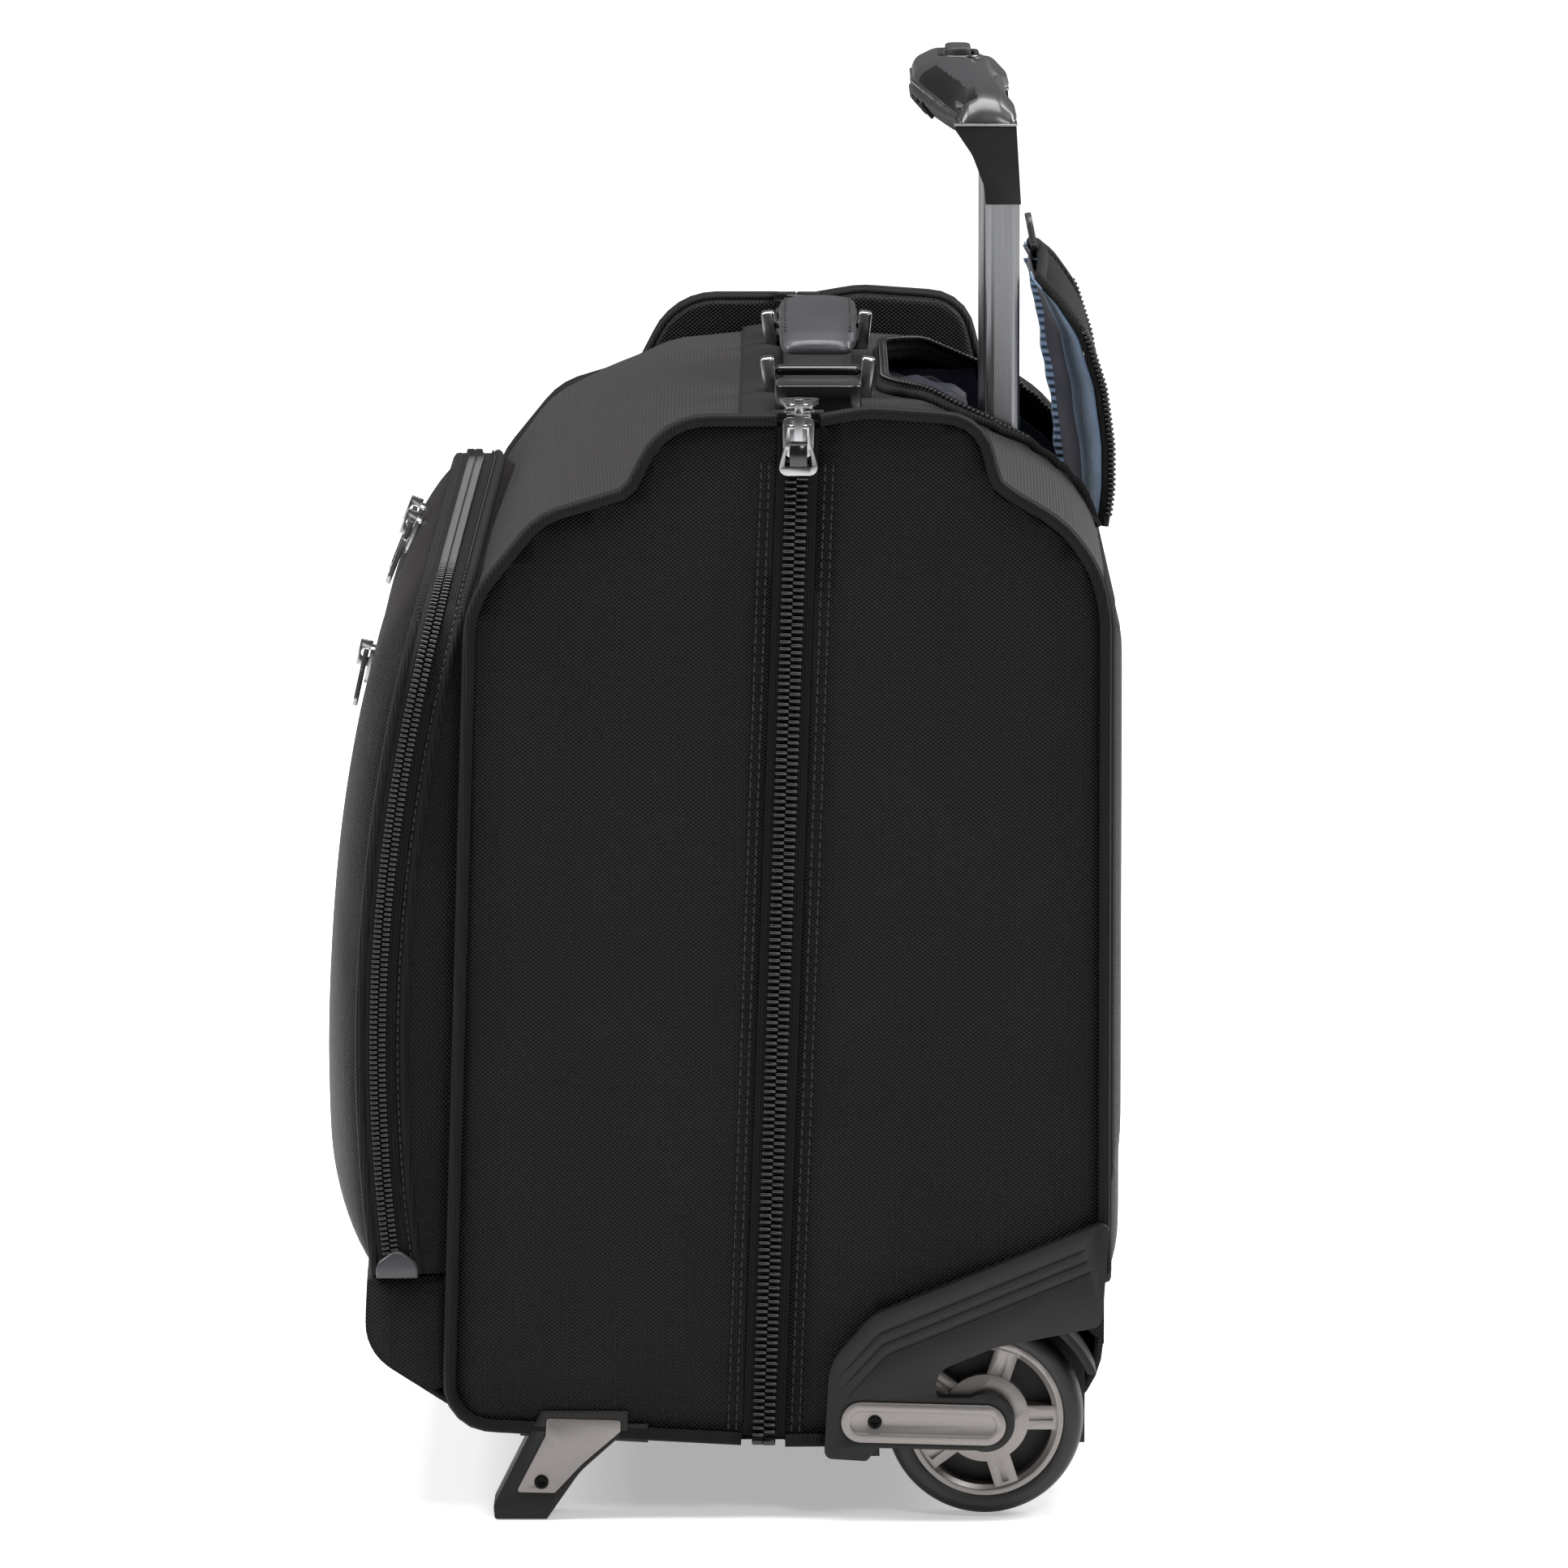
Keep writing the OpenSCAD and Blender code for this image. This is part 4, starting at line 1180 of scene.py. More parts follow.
@dataclass
class Zip:
    """A coil zip: two woven tapes and a row of small rounded turns on each."""

    pitch: float = 2.6
    turn: tuple[float, float, float] = (1.35, 4.7, 2.3)
    tape: float = 8.6

    def row(self, name: str, body: str, path: Sequence[Vector], out: Callable[[Vector], Vector],
            aside: float, shift: float, stands_for: Sequence[str] = ()) -> None:
        """Builds one row of turns.

        Args:
            name: the row's name.
            body: the body it rides on.
            path: the chain's centre line in millimetres.
            out: the outward direction at a point.
            aside: how far the row stands aside from the centre line.
            shift: where in its pitch the first turn lies.
            stands_for: the CAD nodes that it replaces.
        """
        block = block_mesh(Vector(self.turn), min(self.turn) * 0.42, 2)
        bm = copies(block, along(path, self.pitch, out, shift, aside))
        bm.normal_update()
        finish_piece(bm, name, body, [Finish.COIL], "zip_coil", True, stands_for)
        bpy.data.meshes.remove(block)

    def tape_strip(self, name: str, body: str, path: Sequence[Vector], out: Callable[[Vector], Vector],
                   near: float, far: float, drop: float = 1.0) -> None:
        """Builds one tape beside the chain.

        Args:
            name: the tape's name.
            body: the body it rides on.
            path: the chain's centre line in millimetres.
            out: the outward direction at a point.
            near: its edge nearest the chain, signed, in millimetres.
            far: its other edge.
            drop: how far it lies below the chain's centre line.
        """
        count = max(3, int(length_of(path) / 6))
        spots = resampled(path, count + 1)

        def place(u: float, v: float) -> Vector:
            """Returns the sheet's point at U and V, in millimetres."""
            i = round(v * count)
            run = (spots[min(i + 1, count)] - spots[max(i - 1, 0)]).normalized()
            up = out(spots[i])
            across = up.cross(run).normalized()
            return spots[i] + across * (near + (far - near) * u) - up * drop
        bm = sheet_mesh(place, 3, count, abs(far - near), length_of(path))
        bm.normal_update()
        face = bm.faces[:][len(bm.faces) // 2]
        if face.normal.dot(out(face.calc_center_median() / MM)) < 0:
            bmesh.ops.reverse_faces(bm, faces=bm.faces[:])
        piece = finish_piece(bm, name, body, [Finish.TAPE], "zip_coil")
        thicken(piece, 0.8)

    def stitches(self, name: str, body: str, path: Sequence[Vector], out: Callable[[Vector], Vector],
                 asides: Sequence[float], pitch: float = 3.6) -> None:
        """Sews rows of thread beside the path.

        Args:
            name: the stitching's name.
            body: the body it rides on.
            path: the line in millimetres.
            out: the outward direction at a point.
            asides: how far each row stands from the line.
            pitch: the stitch length and gap together.
        """
        block = block_mesh(Vector((pitch * 0.72, 0.75, 0.6)), 0.25)
        places = [m for aside in asides for m in along(path, pitch, out, 0.0, aside)]
        bm = copies(block, places)
        bm.normal_update()
        finish_piece(bm, name, body, [Finish.THREAD], "zip_coil")
        bpy.data.meshes.remove(block)


def outward_x(side: int) -> Callable[[Vector], Vector]:
    """Returns a function that always gives the outward X direction of a side.

    Args:
        side: 1 for the right, -1 for the left.
    """
    return lambda spot: Vector((side, 0, 0))


@dataclass
class MainZip(Zip):
    """The long zip between the halves: up both sides, over the ears and along the bottom."""

    x: float = 273.0

    def side_path(self, side: int) -> list[Vector]:
        """Returns the chain's centre line up one side, in millimetres.

        Args:
            side: 1 for the right, -1 for the left.
        """
        return [Vector((side * self.x, zip_y(z), z)) for z in (31, 120, 210, 300, 400, 411)]

    def build(self) -> None:
        """Builds every run of the chain, its tapes and its stitching."""
        for side, label in ((1, "right"), (-1, "left")):
            path, out = self.side_path(side), outward_x(side)
            for half, way, step in (("front", -1, 0.25), ("rear", 1, 0.75)):
                sign = self.sign(path, out, way)
                stands = [f"zip_stringer_{half}"] if side == 1 else []
                self.row(f"main_zip_{half}_side_{label}", f"{half}_half", path, out, sign * 2.1, step,
                         stands)
                self.tape_strip(f"main_zip_tape_{half}_{label}", f"{half}_half", path, out, sign * 0.3,
                                sign * self.tape, 1.2)
                self.stitches(f"main_zip_stitching_{half}_{label}", f"{half}_half",
                              [p + Vector((side * 0.7, 0, 0)) for p in path[:5]], out,
                              [sign * 10.4, sign * 13.4])
                top = [Vector((side * x, zip_y(414), 415)) for x in (272, 268, 264, 260, 257)]
                up = lambda spot: Vector((0, 0, 1))
                sign = self.sign(top, up, way)
                self.row(f"main_zip_{half}_ear_{label}", f"{half}_half", top, up, sign * 2.1, step)
                self.tape_strip(f"main_zip_ear_tape_{half}_{label}", f"{half}_half", top, up, sign * 0.3,
                                sign * self.tape, 1.2)
                down = [Vector((side * 257.5, zip_y(z), z)) for z in (414, 410, 405)]
                inner = outward_x(-side)
                sign = self.sign(down, inner, way)
                self.tape_strip(f"main_zip_ear_end_{half}_{label}", f"{half}_half", down, inner, sign * 0.3,
                                sign * self.tape, 1.0)
        low = [Vector((x, zip_y(30), 28.6)) for x in (-272, -130, 0, 130, 272)]
        under = lambda spot: Vector((0, 0, -1))
        for half, way, step in (("front", -1, 0.25), ("rear", 1, 0.75)):
            sign = self.sign(low, under, way)
            self.row(f"main_zip_{half}_bottom", f"{half}_half", low, under, sign * 2.1, step)
            self.tape_strip(f"main_zip_tape_{half}_bottom", f"{half}_half", low, under, sign * 0.3,
                            sign * self.tape, 1.2)

    @staticmethod
    def sign(path: Sequence[Vector], out: Callable[[Vector], Vector], way: int) -> int:
        """Returns the sign of aside that leads towards -Y for way -1, or +Y for way 1.

        Args:
            path: the line.
            out: the outward direction at a point.
            way: -1 for the front, 1 for the rear.
        """
        side = out(path[0]).cross((path[1] - path[0]).normalized())
        return way if side.y > 0 else -way


def pocket_line(z: float) -> float:
    """Returns the Y of the pocket's zip at a height, in millimetres.

    Args:
        z: the height in millimetres.
    """
    return -138 + 0.000815 * (z - 175) ** 2


def shell_front(z: float) -> float:
    """Returns the Y of the front shell at a height, in millimetres.

    Args:
        z: the height in millimetres.
    """
    return -107 + (z - 36) * 9.5 / 320


@dataclass
class Pocket:
    """The front pocket: a gusset, a padded panel that opens on its zip, and a kick panel below."""

    half: float = 266.0
    low: float = 92.0
    high: float = 357.0
    zip: Zip = field(default_factory=lambda: Zip(1.9, (1.3, 3.2, 1.7), 6.5))

    def build(self) -> None:
        """Builds every piece of the pocket."""
        self.gusset()
        self.panel()
        self.kick()
        self.zips()

    def arch_line(self, grow: float = 0.0) -> list[Vector]:
        """Returns the zip's [x, z] line in millimetres, seen from the front, from low right to low left.

        Args:
            grow: how far the line stands outside its own place.
        """
        half = self.half + grow
        corners = [(half, self.low, 0), (half - 0.5, 349 + grow, 46), (0, 371.5 + grow, 420),
                   (0.5 - half, 349 + grow, 46), (-half, self.low, 0)]
        return resampled(rounded(corners, 14, False), 141)

    @staticmethod
    def line_y(z: float) -> float:
        """Returns the Y of the zip's plane at a height, in millimetres.

        Args:
            z: the height in millimetres.
        """
        return pocket_line(z)

    def gusset(self) -> None:
        """Builds the gusset: one band from the zip back to the shell, up both sides and over the top."""
        outer = self.arch_line()
        count = len(outer) - 1
        shell = Shell()
        back = [shell.front_at(p.x * 0.985, p.y - 1) for p in outer]

        def place(u: float, v: float) -> Vector:
            """Returns the sheet's point at U and V, in millimetres."""
            i = round(u * count)
            x, z = outer[i]
            y = self.line_y(z) * (1 - v) + (back[i] + 2.0) * v
            puff = 2.2 * math.sin(math.pi * v) + ripple(Vector((x, y, z)), 45, 0.5, 9.0)
            rise = max(0.0, (z - 330) / 40)
            side = math.copysign(1 - min(1.0, rise) ** 2, x)
            return Vector((x + side * puff - side * 1.0 * v, y, z + min(1.0, rise) * puff - 1.0 * v * rise))
        bm = sheet_mesh(place, count, 8, length_of(outer), 32)
        face_out(bm, (1, 0, 0), lambda spot: spot.x > 0.26)
        piece = finish_piece(bm, "pocket_gusset_band", "front_half", [Finish.NYLON, Finish.NAVY],
                             "ballistic_nylon", True, ["pocket_gusset"])
        thicken(piece, 2.4, 1)

    def panel(self) -> None:
        """Builds the padded panel as a drawn closed form, then swells it in the cloth step."""
        line = self.arch_line(-1.8)
        outline = [(p.x, p.y) for p in line] + [(p, self.low) for p in (-200, -100, 0, 100, 200)]
        bm = panel_mesh(outline, 0.0, 9.0, lambda spot: 0.0, 1)
        flat = {v: (v.co.y / MM, v.co.z / MM) for v in bm.verts}
        for vert, (x, z) in flat.items():
            away = edge_distance(x, z, outline)
            bulge = 11.5 * math.sin(math.pi / 2 * min(1.0, away / 48)) ** 0.75
            vert.co = Vector((x, self.line_y(z) - 1.0 - bulge, z)) * MM
        close_back(bm, lambda z: self.line_y(z) + 2.6)
        piece = finish_piece(bm, "pocket_panel_padded", "pocket_door", [Finish.NYLON], "ballistic_nylon",
                             True, ["pocket_panel"])
        # The pressure carries every point past the cap, so the step moves each one by the cap's
        # 2.5 mm and adds no creases of its own.
        inflate(piece, 0, 2.5, 2.5)
        for vert in piece.data.vertices:
            spot = vert.co / MM
            inside = max(0.0, min(1.0, (self.half - abs(spot.x)) / 40))
            vert.co.y += ripple(spot, 80.0, 1.1, 2.0) * inside * MM
        dress(piece, Finish.NYLON)
        smooth_more(piece)

    def kick(self) -> None:
        """Builds the bumper panel below the pocket."""
        outline = rounded([(shell_front(91) + 1, 91, 0), (-137, 91, 3), (-138, 62, 20), (-107, 42, 7)], 6)
        for side, label in ((1, "right"), (-1, "left")):
            bm = panel_mesh(outline, side * self.half, 9.0,
                            lambda spot: 1.4 * math.sin(math.pi / 2 * min(
                                1.0, edge_distance(spot.y, spot.z, outline) / 12)), side)
            thicken(finish_piece(bm, f"kick_panel_side_{label}", "front_half", [Finish.NYLON],
                                 "ballistic_nylon", True, ["kick_panel"] if side == 1 else []), 2.4)
        path = resampled(rounded([(-104, 91, 0), (-137.4, 91, 3), (-138.6, 62, 20), (-107, 42, 7),
                                  (-104, 40, 0)], 6, False), 33)

        def place(u: float, v: float) -> Vector:
            """Returns the sheet's point at U and V, in millimetres."""
            x = (2 * u - 1) * self.half
            spot = path[round(v * 32)]
            swell = 2.2 * (1 - abs(2 * u - 1) ** 4) * math.sin(math.pi * min(1, max(0, v)))
            return Vector((x, spot.x - swell, spot.y - 0.3 * swell))
        bm = sheet_mesh(place, 44, 32, 2 * self.half, length_of(path))
        face_out(bm, (0, -1, 0), lambda spot: spot.y < -0.135)
        thicken(finish_piece(bm, "kick_panel_cloth", "front_half", [Finish.NYLON], "ballistic_nylon"), 2.6)

    def zips(self) -> None:
        """Builds the pocket's zip up both sides and over the top, with its piping and end tabs."""
        line = self.arch_line()
        path = [Vector((p.x, self.line_y(p.y) + 5.0, p.y)) for p in line]
        middle = Vector((0, 0, 210))

        def out(spot: Vector) -> Vector:
            """Returns the outward direction at a point of the zip."""
            away = Vector((spot.x, 0, spot.z)) - middle
            if spot.z < 318:
                return Vector((math.copysign(1, spot.x), 0, 0))
            turn = min(1.0, (self.half - abs(spot.x)) / 40)
            leaning = Vector((math.copysign(1 - turn, spot.x), 0, turn))
            return (leaning + away.normalized() * 0.2).normalized()
        lifted = [p + out(p) * 2.6 for p in path]
        sign = MainZip.sign(lifted, out, -1)
        self.zip.row("pocket_zip_outer", "front_half", lifted, out, sign * 1.6, 0.25)
        self.zip.row("pocket_zip_inner", "front_half", lifted, out, -sign * 1.6, 0.75)
        self.zip.tape_strip("pocket_zip_tape", "front_half", lifted, out, sign * 5.0, -sign * 8.5, 0.9)
        self.zip.stitches("pocket_zip_stitching", "front_half", lifted, out, [-sign * 7.4], 3.2)
        for name, back, aside, radius, body in (("pocket_panel_cord", -1.2, -0.6, 2.6, "pocket_door"),
                                                ("pocket_gusset_cord", 14.5, 1.2, 2.0, "front_half")):
            cord = [Vector((p.x, self.line_y(p.y) + back, p.y)) + out(Vector((p.x, 0, p.y))) * aside
                    for p in line]
            finish_piece(tube_mesh(cord, radius, 2), name, body, [Finish.BINDING], "piping")
        for side, label in ((1, "right"), (-1, "left")):
            tab = rounded([(-11, 0, 0), (-11, 6, 5), (0, 12, 8), (11, 6, 5), (11, 0, 0)], 6)
            disc = prism_mesh([(pocket_line(97) + 7 + a * 0.72, 90.5 + b * 0.95) for a, b in tab],
                              side * (self.half + 1.6), side * (self.half + 4.4), 1.1, 2)
            finish_piece(disc, f"pocket_zip_tab_{label}", "front_half", [Finish.LEATHER], "leather")


@dataclass
class RearPanel:
    """The padded back panel between the wheels and the flap's hinge, with a sewn border."""

    half: float = 265.0
    low: float = 84.0
    high: float = 345.0

    def build(self) -> None:
        """Builds the panel's swollen form and its cord."""
        outline = rounded([(-self.half, 126, 8), (-231, 126, 0), (-231, self.low, 6), (231, self.low, 6),
                           (231, 126, 0), (self.half, 126, 8), (self.half, self.high, 14),
                           (-self.half, self.high, 14)], 5)
        bm = panel_mesh(outline, 0.0, 10.0, lambda spot: 0.0, 1)
        flat = {v: (v.co.y / MM, v.co.z / MM) for v in bm.verts}
        for vert, (x, z) in flat.items():
            away = min(1.0, edge_distance(x, z, outline) / 16)
            vert.co = Vector((x, 141.2 + 4.6 * math.sin(math.pi / 2 * away) ** 0.7, z)) * MM
        close_back(bm, lambda z: 139.2)
        piece = finish_piece(bm, "rear_panel_padded", "rear_half", [Finish.NYLON], "ballistic_nylon", True,
                             ["rear_panel"])
        # The cloth step moves no point of this pad, so its swell is only the form drawn above.
        inflate(piece, 0, 1.5, 2.0)
        dress(piece, Finish.NYLON)
        smooth_more(piece)
        cord = resampled([Vector((p[0], 140.6, p[1])) for p in outline + outline[:1]], 240)
        finish_piece(tube_mesh(cord, 2.2, 2), "rear_panel_cord", "rear_half", [Finish.BINDING], "piping")


@dataclass
class CarryHandle:
    """The leather-bound grip on its webbing strap, between two plated brackets."""

    y: float = 32.0
    base: float = 409.0

    def arch(self, x: float) -> float:
        """Returns the strap's height at X, in millimetres.

        Args:
            x: the place across the case, in millimetres.
        """
        t = max(0.0, 1 - abs(x) / 96)
        return self.base + 20.5 * (t * t * (3 - 2 * t)) ** 0.7

    def build(self) -> None:
        """Builds the strap and the padded grip."""
        def place(u: float, v: float) -> Vector:
            """Returns the sheet's point at U and V, in millimetres."""
            x = (2 * u - 1) * 118
            return Vector((x, self.y + (v - 0.5) * 26, self.arch(x) + 2.2))
        bm = sheet_mesh(place, 48, 6, 236, 26)
        face_out(bm, (0, 0, 1))
        strap = finish_piece(bm, "handle_strap_webbing", "carry_handle", [Finish.WEBBING], "webbing", True,
                             ["handle_strap"])
        thicken(strap, 2.4)
        bm = bmesh.new()
        bmesh.ops.create_cube(bm, size=1.0)
        bmesh.ops.subdivide_edges(bm, edges=bm.edges[:], cuts=11, use_grid_fill=True)
        for vert in bm.verts:
            a, b, c = vert.co * 2
            x = a * 62
            width = 15.8 * (1 - 0.16 * abs(a) ** 6)
            thick = 5.4 * (1 - 0.35 * abs(a) ** 6) * (1 - 0.45 * abs(b) ** 3)
            vert.co = Vector((x, self.y + b * width, self.arch(x) + 2.0 + c * thick)) * MM
        piece = finish_piece(bm, "handle_grip_padded", "carry_handle", [Finish.LEATHER], "leather", True,
                             ["handle_grip"])
        inflate(piece, 2.6, 1.2, 3.0)
        dress(piece, Finish.LEATHER)
        smooth_more(piece)
        seam = Zip()
        for way in (-1, 1):
            path = [Vector((x, self.y + way * 12.6, self.arch(x) + 6.6)) for x in range(-52, 53, 8)]
            seam.stitches(f"handle_stitching_{'front' if way < 0 else 'rear'}", "carry_handle", path,
                          lambda spot: Vector((0, 0, 1)), [0.0], 4.0)


@dataclass
class Flap:
    """The flap that covers the handle's recess, standing open behind the legs."""

    half: float = 120.0
    outer: list[Point] = field(default_factory=lambda: [
        (140.4, 359), (141.5, 366), (142.4, 374), (142.4, 390), (139.4, 412), (133, 432), (124, 445),
        (116.5, 451.5)])

    def build(self) -> None:
        """Builds the curved flap, its binding, zip edge and leather tab."""
        count = 26
        line = resampled(self.outer, count + 1)
        total = length_of(self.outer)

        def edge(v: float) -> float:
            """Returns the flap's half width at a share of its length."""
            near_tip = max(0.0, (v * total - (total - 34)) / 34)
            return self.half - 30 * (1 - math.sqrt(max(0.0, 1 - near_tip ** 2)))

        def place(u: float, v: float) -> Vector:
            """Returns the sheet's point at U and V, in millimetres."""
            a = 2 * u - 1
            along_line = min(max(v, 0.0), 1.0) * count
            first = min(int(along_line), count - 1)
            spot = line[first].lerp(line[first + 1], along_line - first)
            bow = 5.0 * v * (1 - a * a)
            return Vector((a * edge(v), spot.x + 1.0 + bow * 0.5, spot.y + 0.6 * bow * v))
        self.sheets(place, count, total)
        for side, label in ((0.0, "left"), (1.0, "right")):
            chain = resampled([place(side, v / count) for v in range(1, count - 5)], 40)
            path = [p + Vector((0, 1.4, 0)) for p in chain]
            out = outward_x(1 if side else -1)
            Zip(1.9, (1.3, 2.8, 1.7), 5.0).row(f"flap_zip_{label}", "rear_flap",
                                               [p + out(p) * 2.9 for p in path], out, 0.0, 0.5)
        node = rounded([(-14, 0, 3), (14, 0, 3), (11, 15, 5), (-11, 15, 5)], 5)
        bm = bmesh.new()
        face = bm.faces.new([bm.verts.new((a * MM, (115.8 - b * 0.18) * MM, (455.5 + b * 0.92) * MM))
                             for a, b in node])
        grown = bmesh.ops.extrude_face_region(bm, geom=[face])
        moved = [g for g in grown["geom"] if isinstance(g, bmesh.types.BMVert)]
        bmesh.ops.translate(bm, vec=Vector((0, 2.6, 0.5)) * MM, verts=moved)
        bmesh.ops.recalc_face_normals(bm, faces=bm.faces)
        bmesh.ops.bevel(bm, geom=bm.edges[:], offset=0.7 * MM, affect="EDGES", segments=2, profile=0.5,
                        material=-1, clamp_overlap=True)
        finish_piece(bm, "flap_tab_leather", "rear_flap", [Finish.LEATHER], "leather", True, ["flap_tab"])

    def sheets(self, place: Callable[[float, float], Vector], count: int, total: float) -> None:
        """Builds the black outer sheet, the looser blue lining before it, whose shaded middle is painted in
        navy, and its ribbed bindings.

        Args:
            place: the outer sheet's surface.
            count: spans up the flap.
            total: the flap's length in millimetres.
        """
        bm = sheet_mesh(place, 34, count, 2 * self.half, total)
        face_out(bm, (0, 1, 0), lambda spot: spot.z < 0.39)
        piece = finish_piece(bm, "flap_cloth", "rear_flap", [Finish.NYLON], "ballistic_nylon", True,
                             ["flap_panel"])
        thicken(piece, 2.4)
        smooth_more(piece)

        def loose(u: float, v: float) -> Vector:
            """Returns a point of the looser lining in front of the outer sheet."""
            a = 2 * u - 1
            spot = place(0.5 + (u - 0.5) * 0.985, v)
            full = math.sin(math.pi * min(1.0, 0.12 + 0.86 * v)) ** 0.7
            fold = 15.0 * full * (1 - abs(a) ** 2.4) + 3.2
            crease = ripple(Vector((a * 60, 0, v * total)), 30, 2.2, 6.0) * (1 - abs(a) ** 6)
            return spot + Vector((0, -fold - crease, -0.15 * fold))
        bm = sheet_mesh(loose, 48, count * 2, 2 * self.half, total)
        face_out(bm, (0, -1, 0), lambda spot: spot.z < 0.39)
        # Painted shade: the lining's middle takes the dark navy finish and only its edges the pale blue one,
        # the same cloth in shade and in light.
        layer = bm.loops.layers.uv["metres"]
        for face in bm.faces:
            across = sum(loop[layer].uv.x for loop in face.loops) / len(face.loops)
            face.material_index = 1 if 0.032 < across < 0.208 else 0
        lining = finish_piece(bm, "flap_lining", "rear_flap", [Finish.STEEL_BLUE, Finish.NAVY], "lining")
        thicken(lining, 0.8)

        def hem(u: float, v: float) -> Vector:
            """Returns a point of the lining's ribbed hem."""
            spot = loose(0.5, 0.03 + 0.95 * v)
            wave = 0.5 * math.sin(v * 21) + 0.25 * math.sin(v * 47 + 1)
            return spot + Vector((2 + 4 * u, -2.6 + wave + 5.2 * u, 0))
        bm = sheet_mesh(hem, 6, 70, 14, total)
        face_out(bm, (1, 0, 0))
        thicken(finish_piece(bm, "flap_lining_hem", "rear_flap", [Finish.BLUE_BINDING], "lining"), 1.2)
        rim = [place(0.0, v / count) for v in range(count + 1)]
        rim += [place(u / 20, 1.0) for u in range(1, 21)]
        rim += [place(1.0, v / count) for v in range(count - 1, -1, -1)]
        rim = resampled(rim, 110)
        finish_piece(tube_mesh(rim, 2.2, 3), "flap_binding", "rear_flap", [Finish.BINDING], "piping")


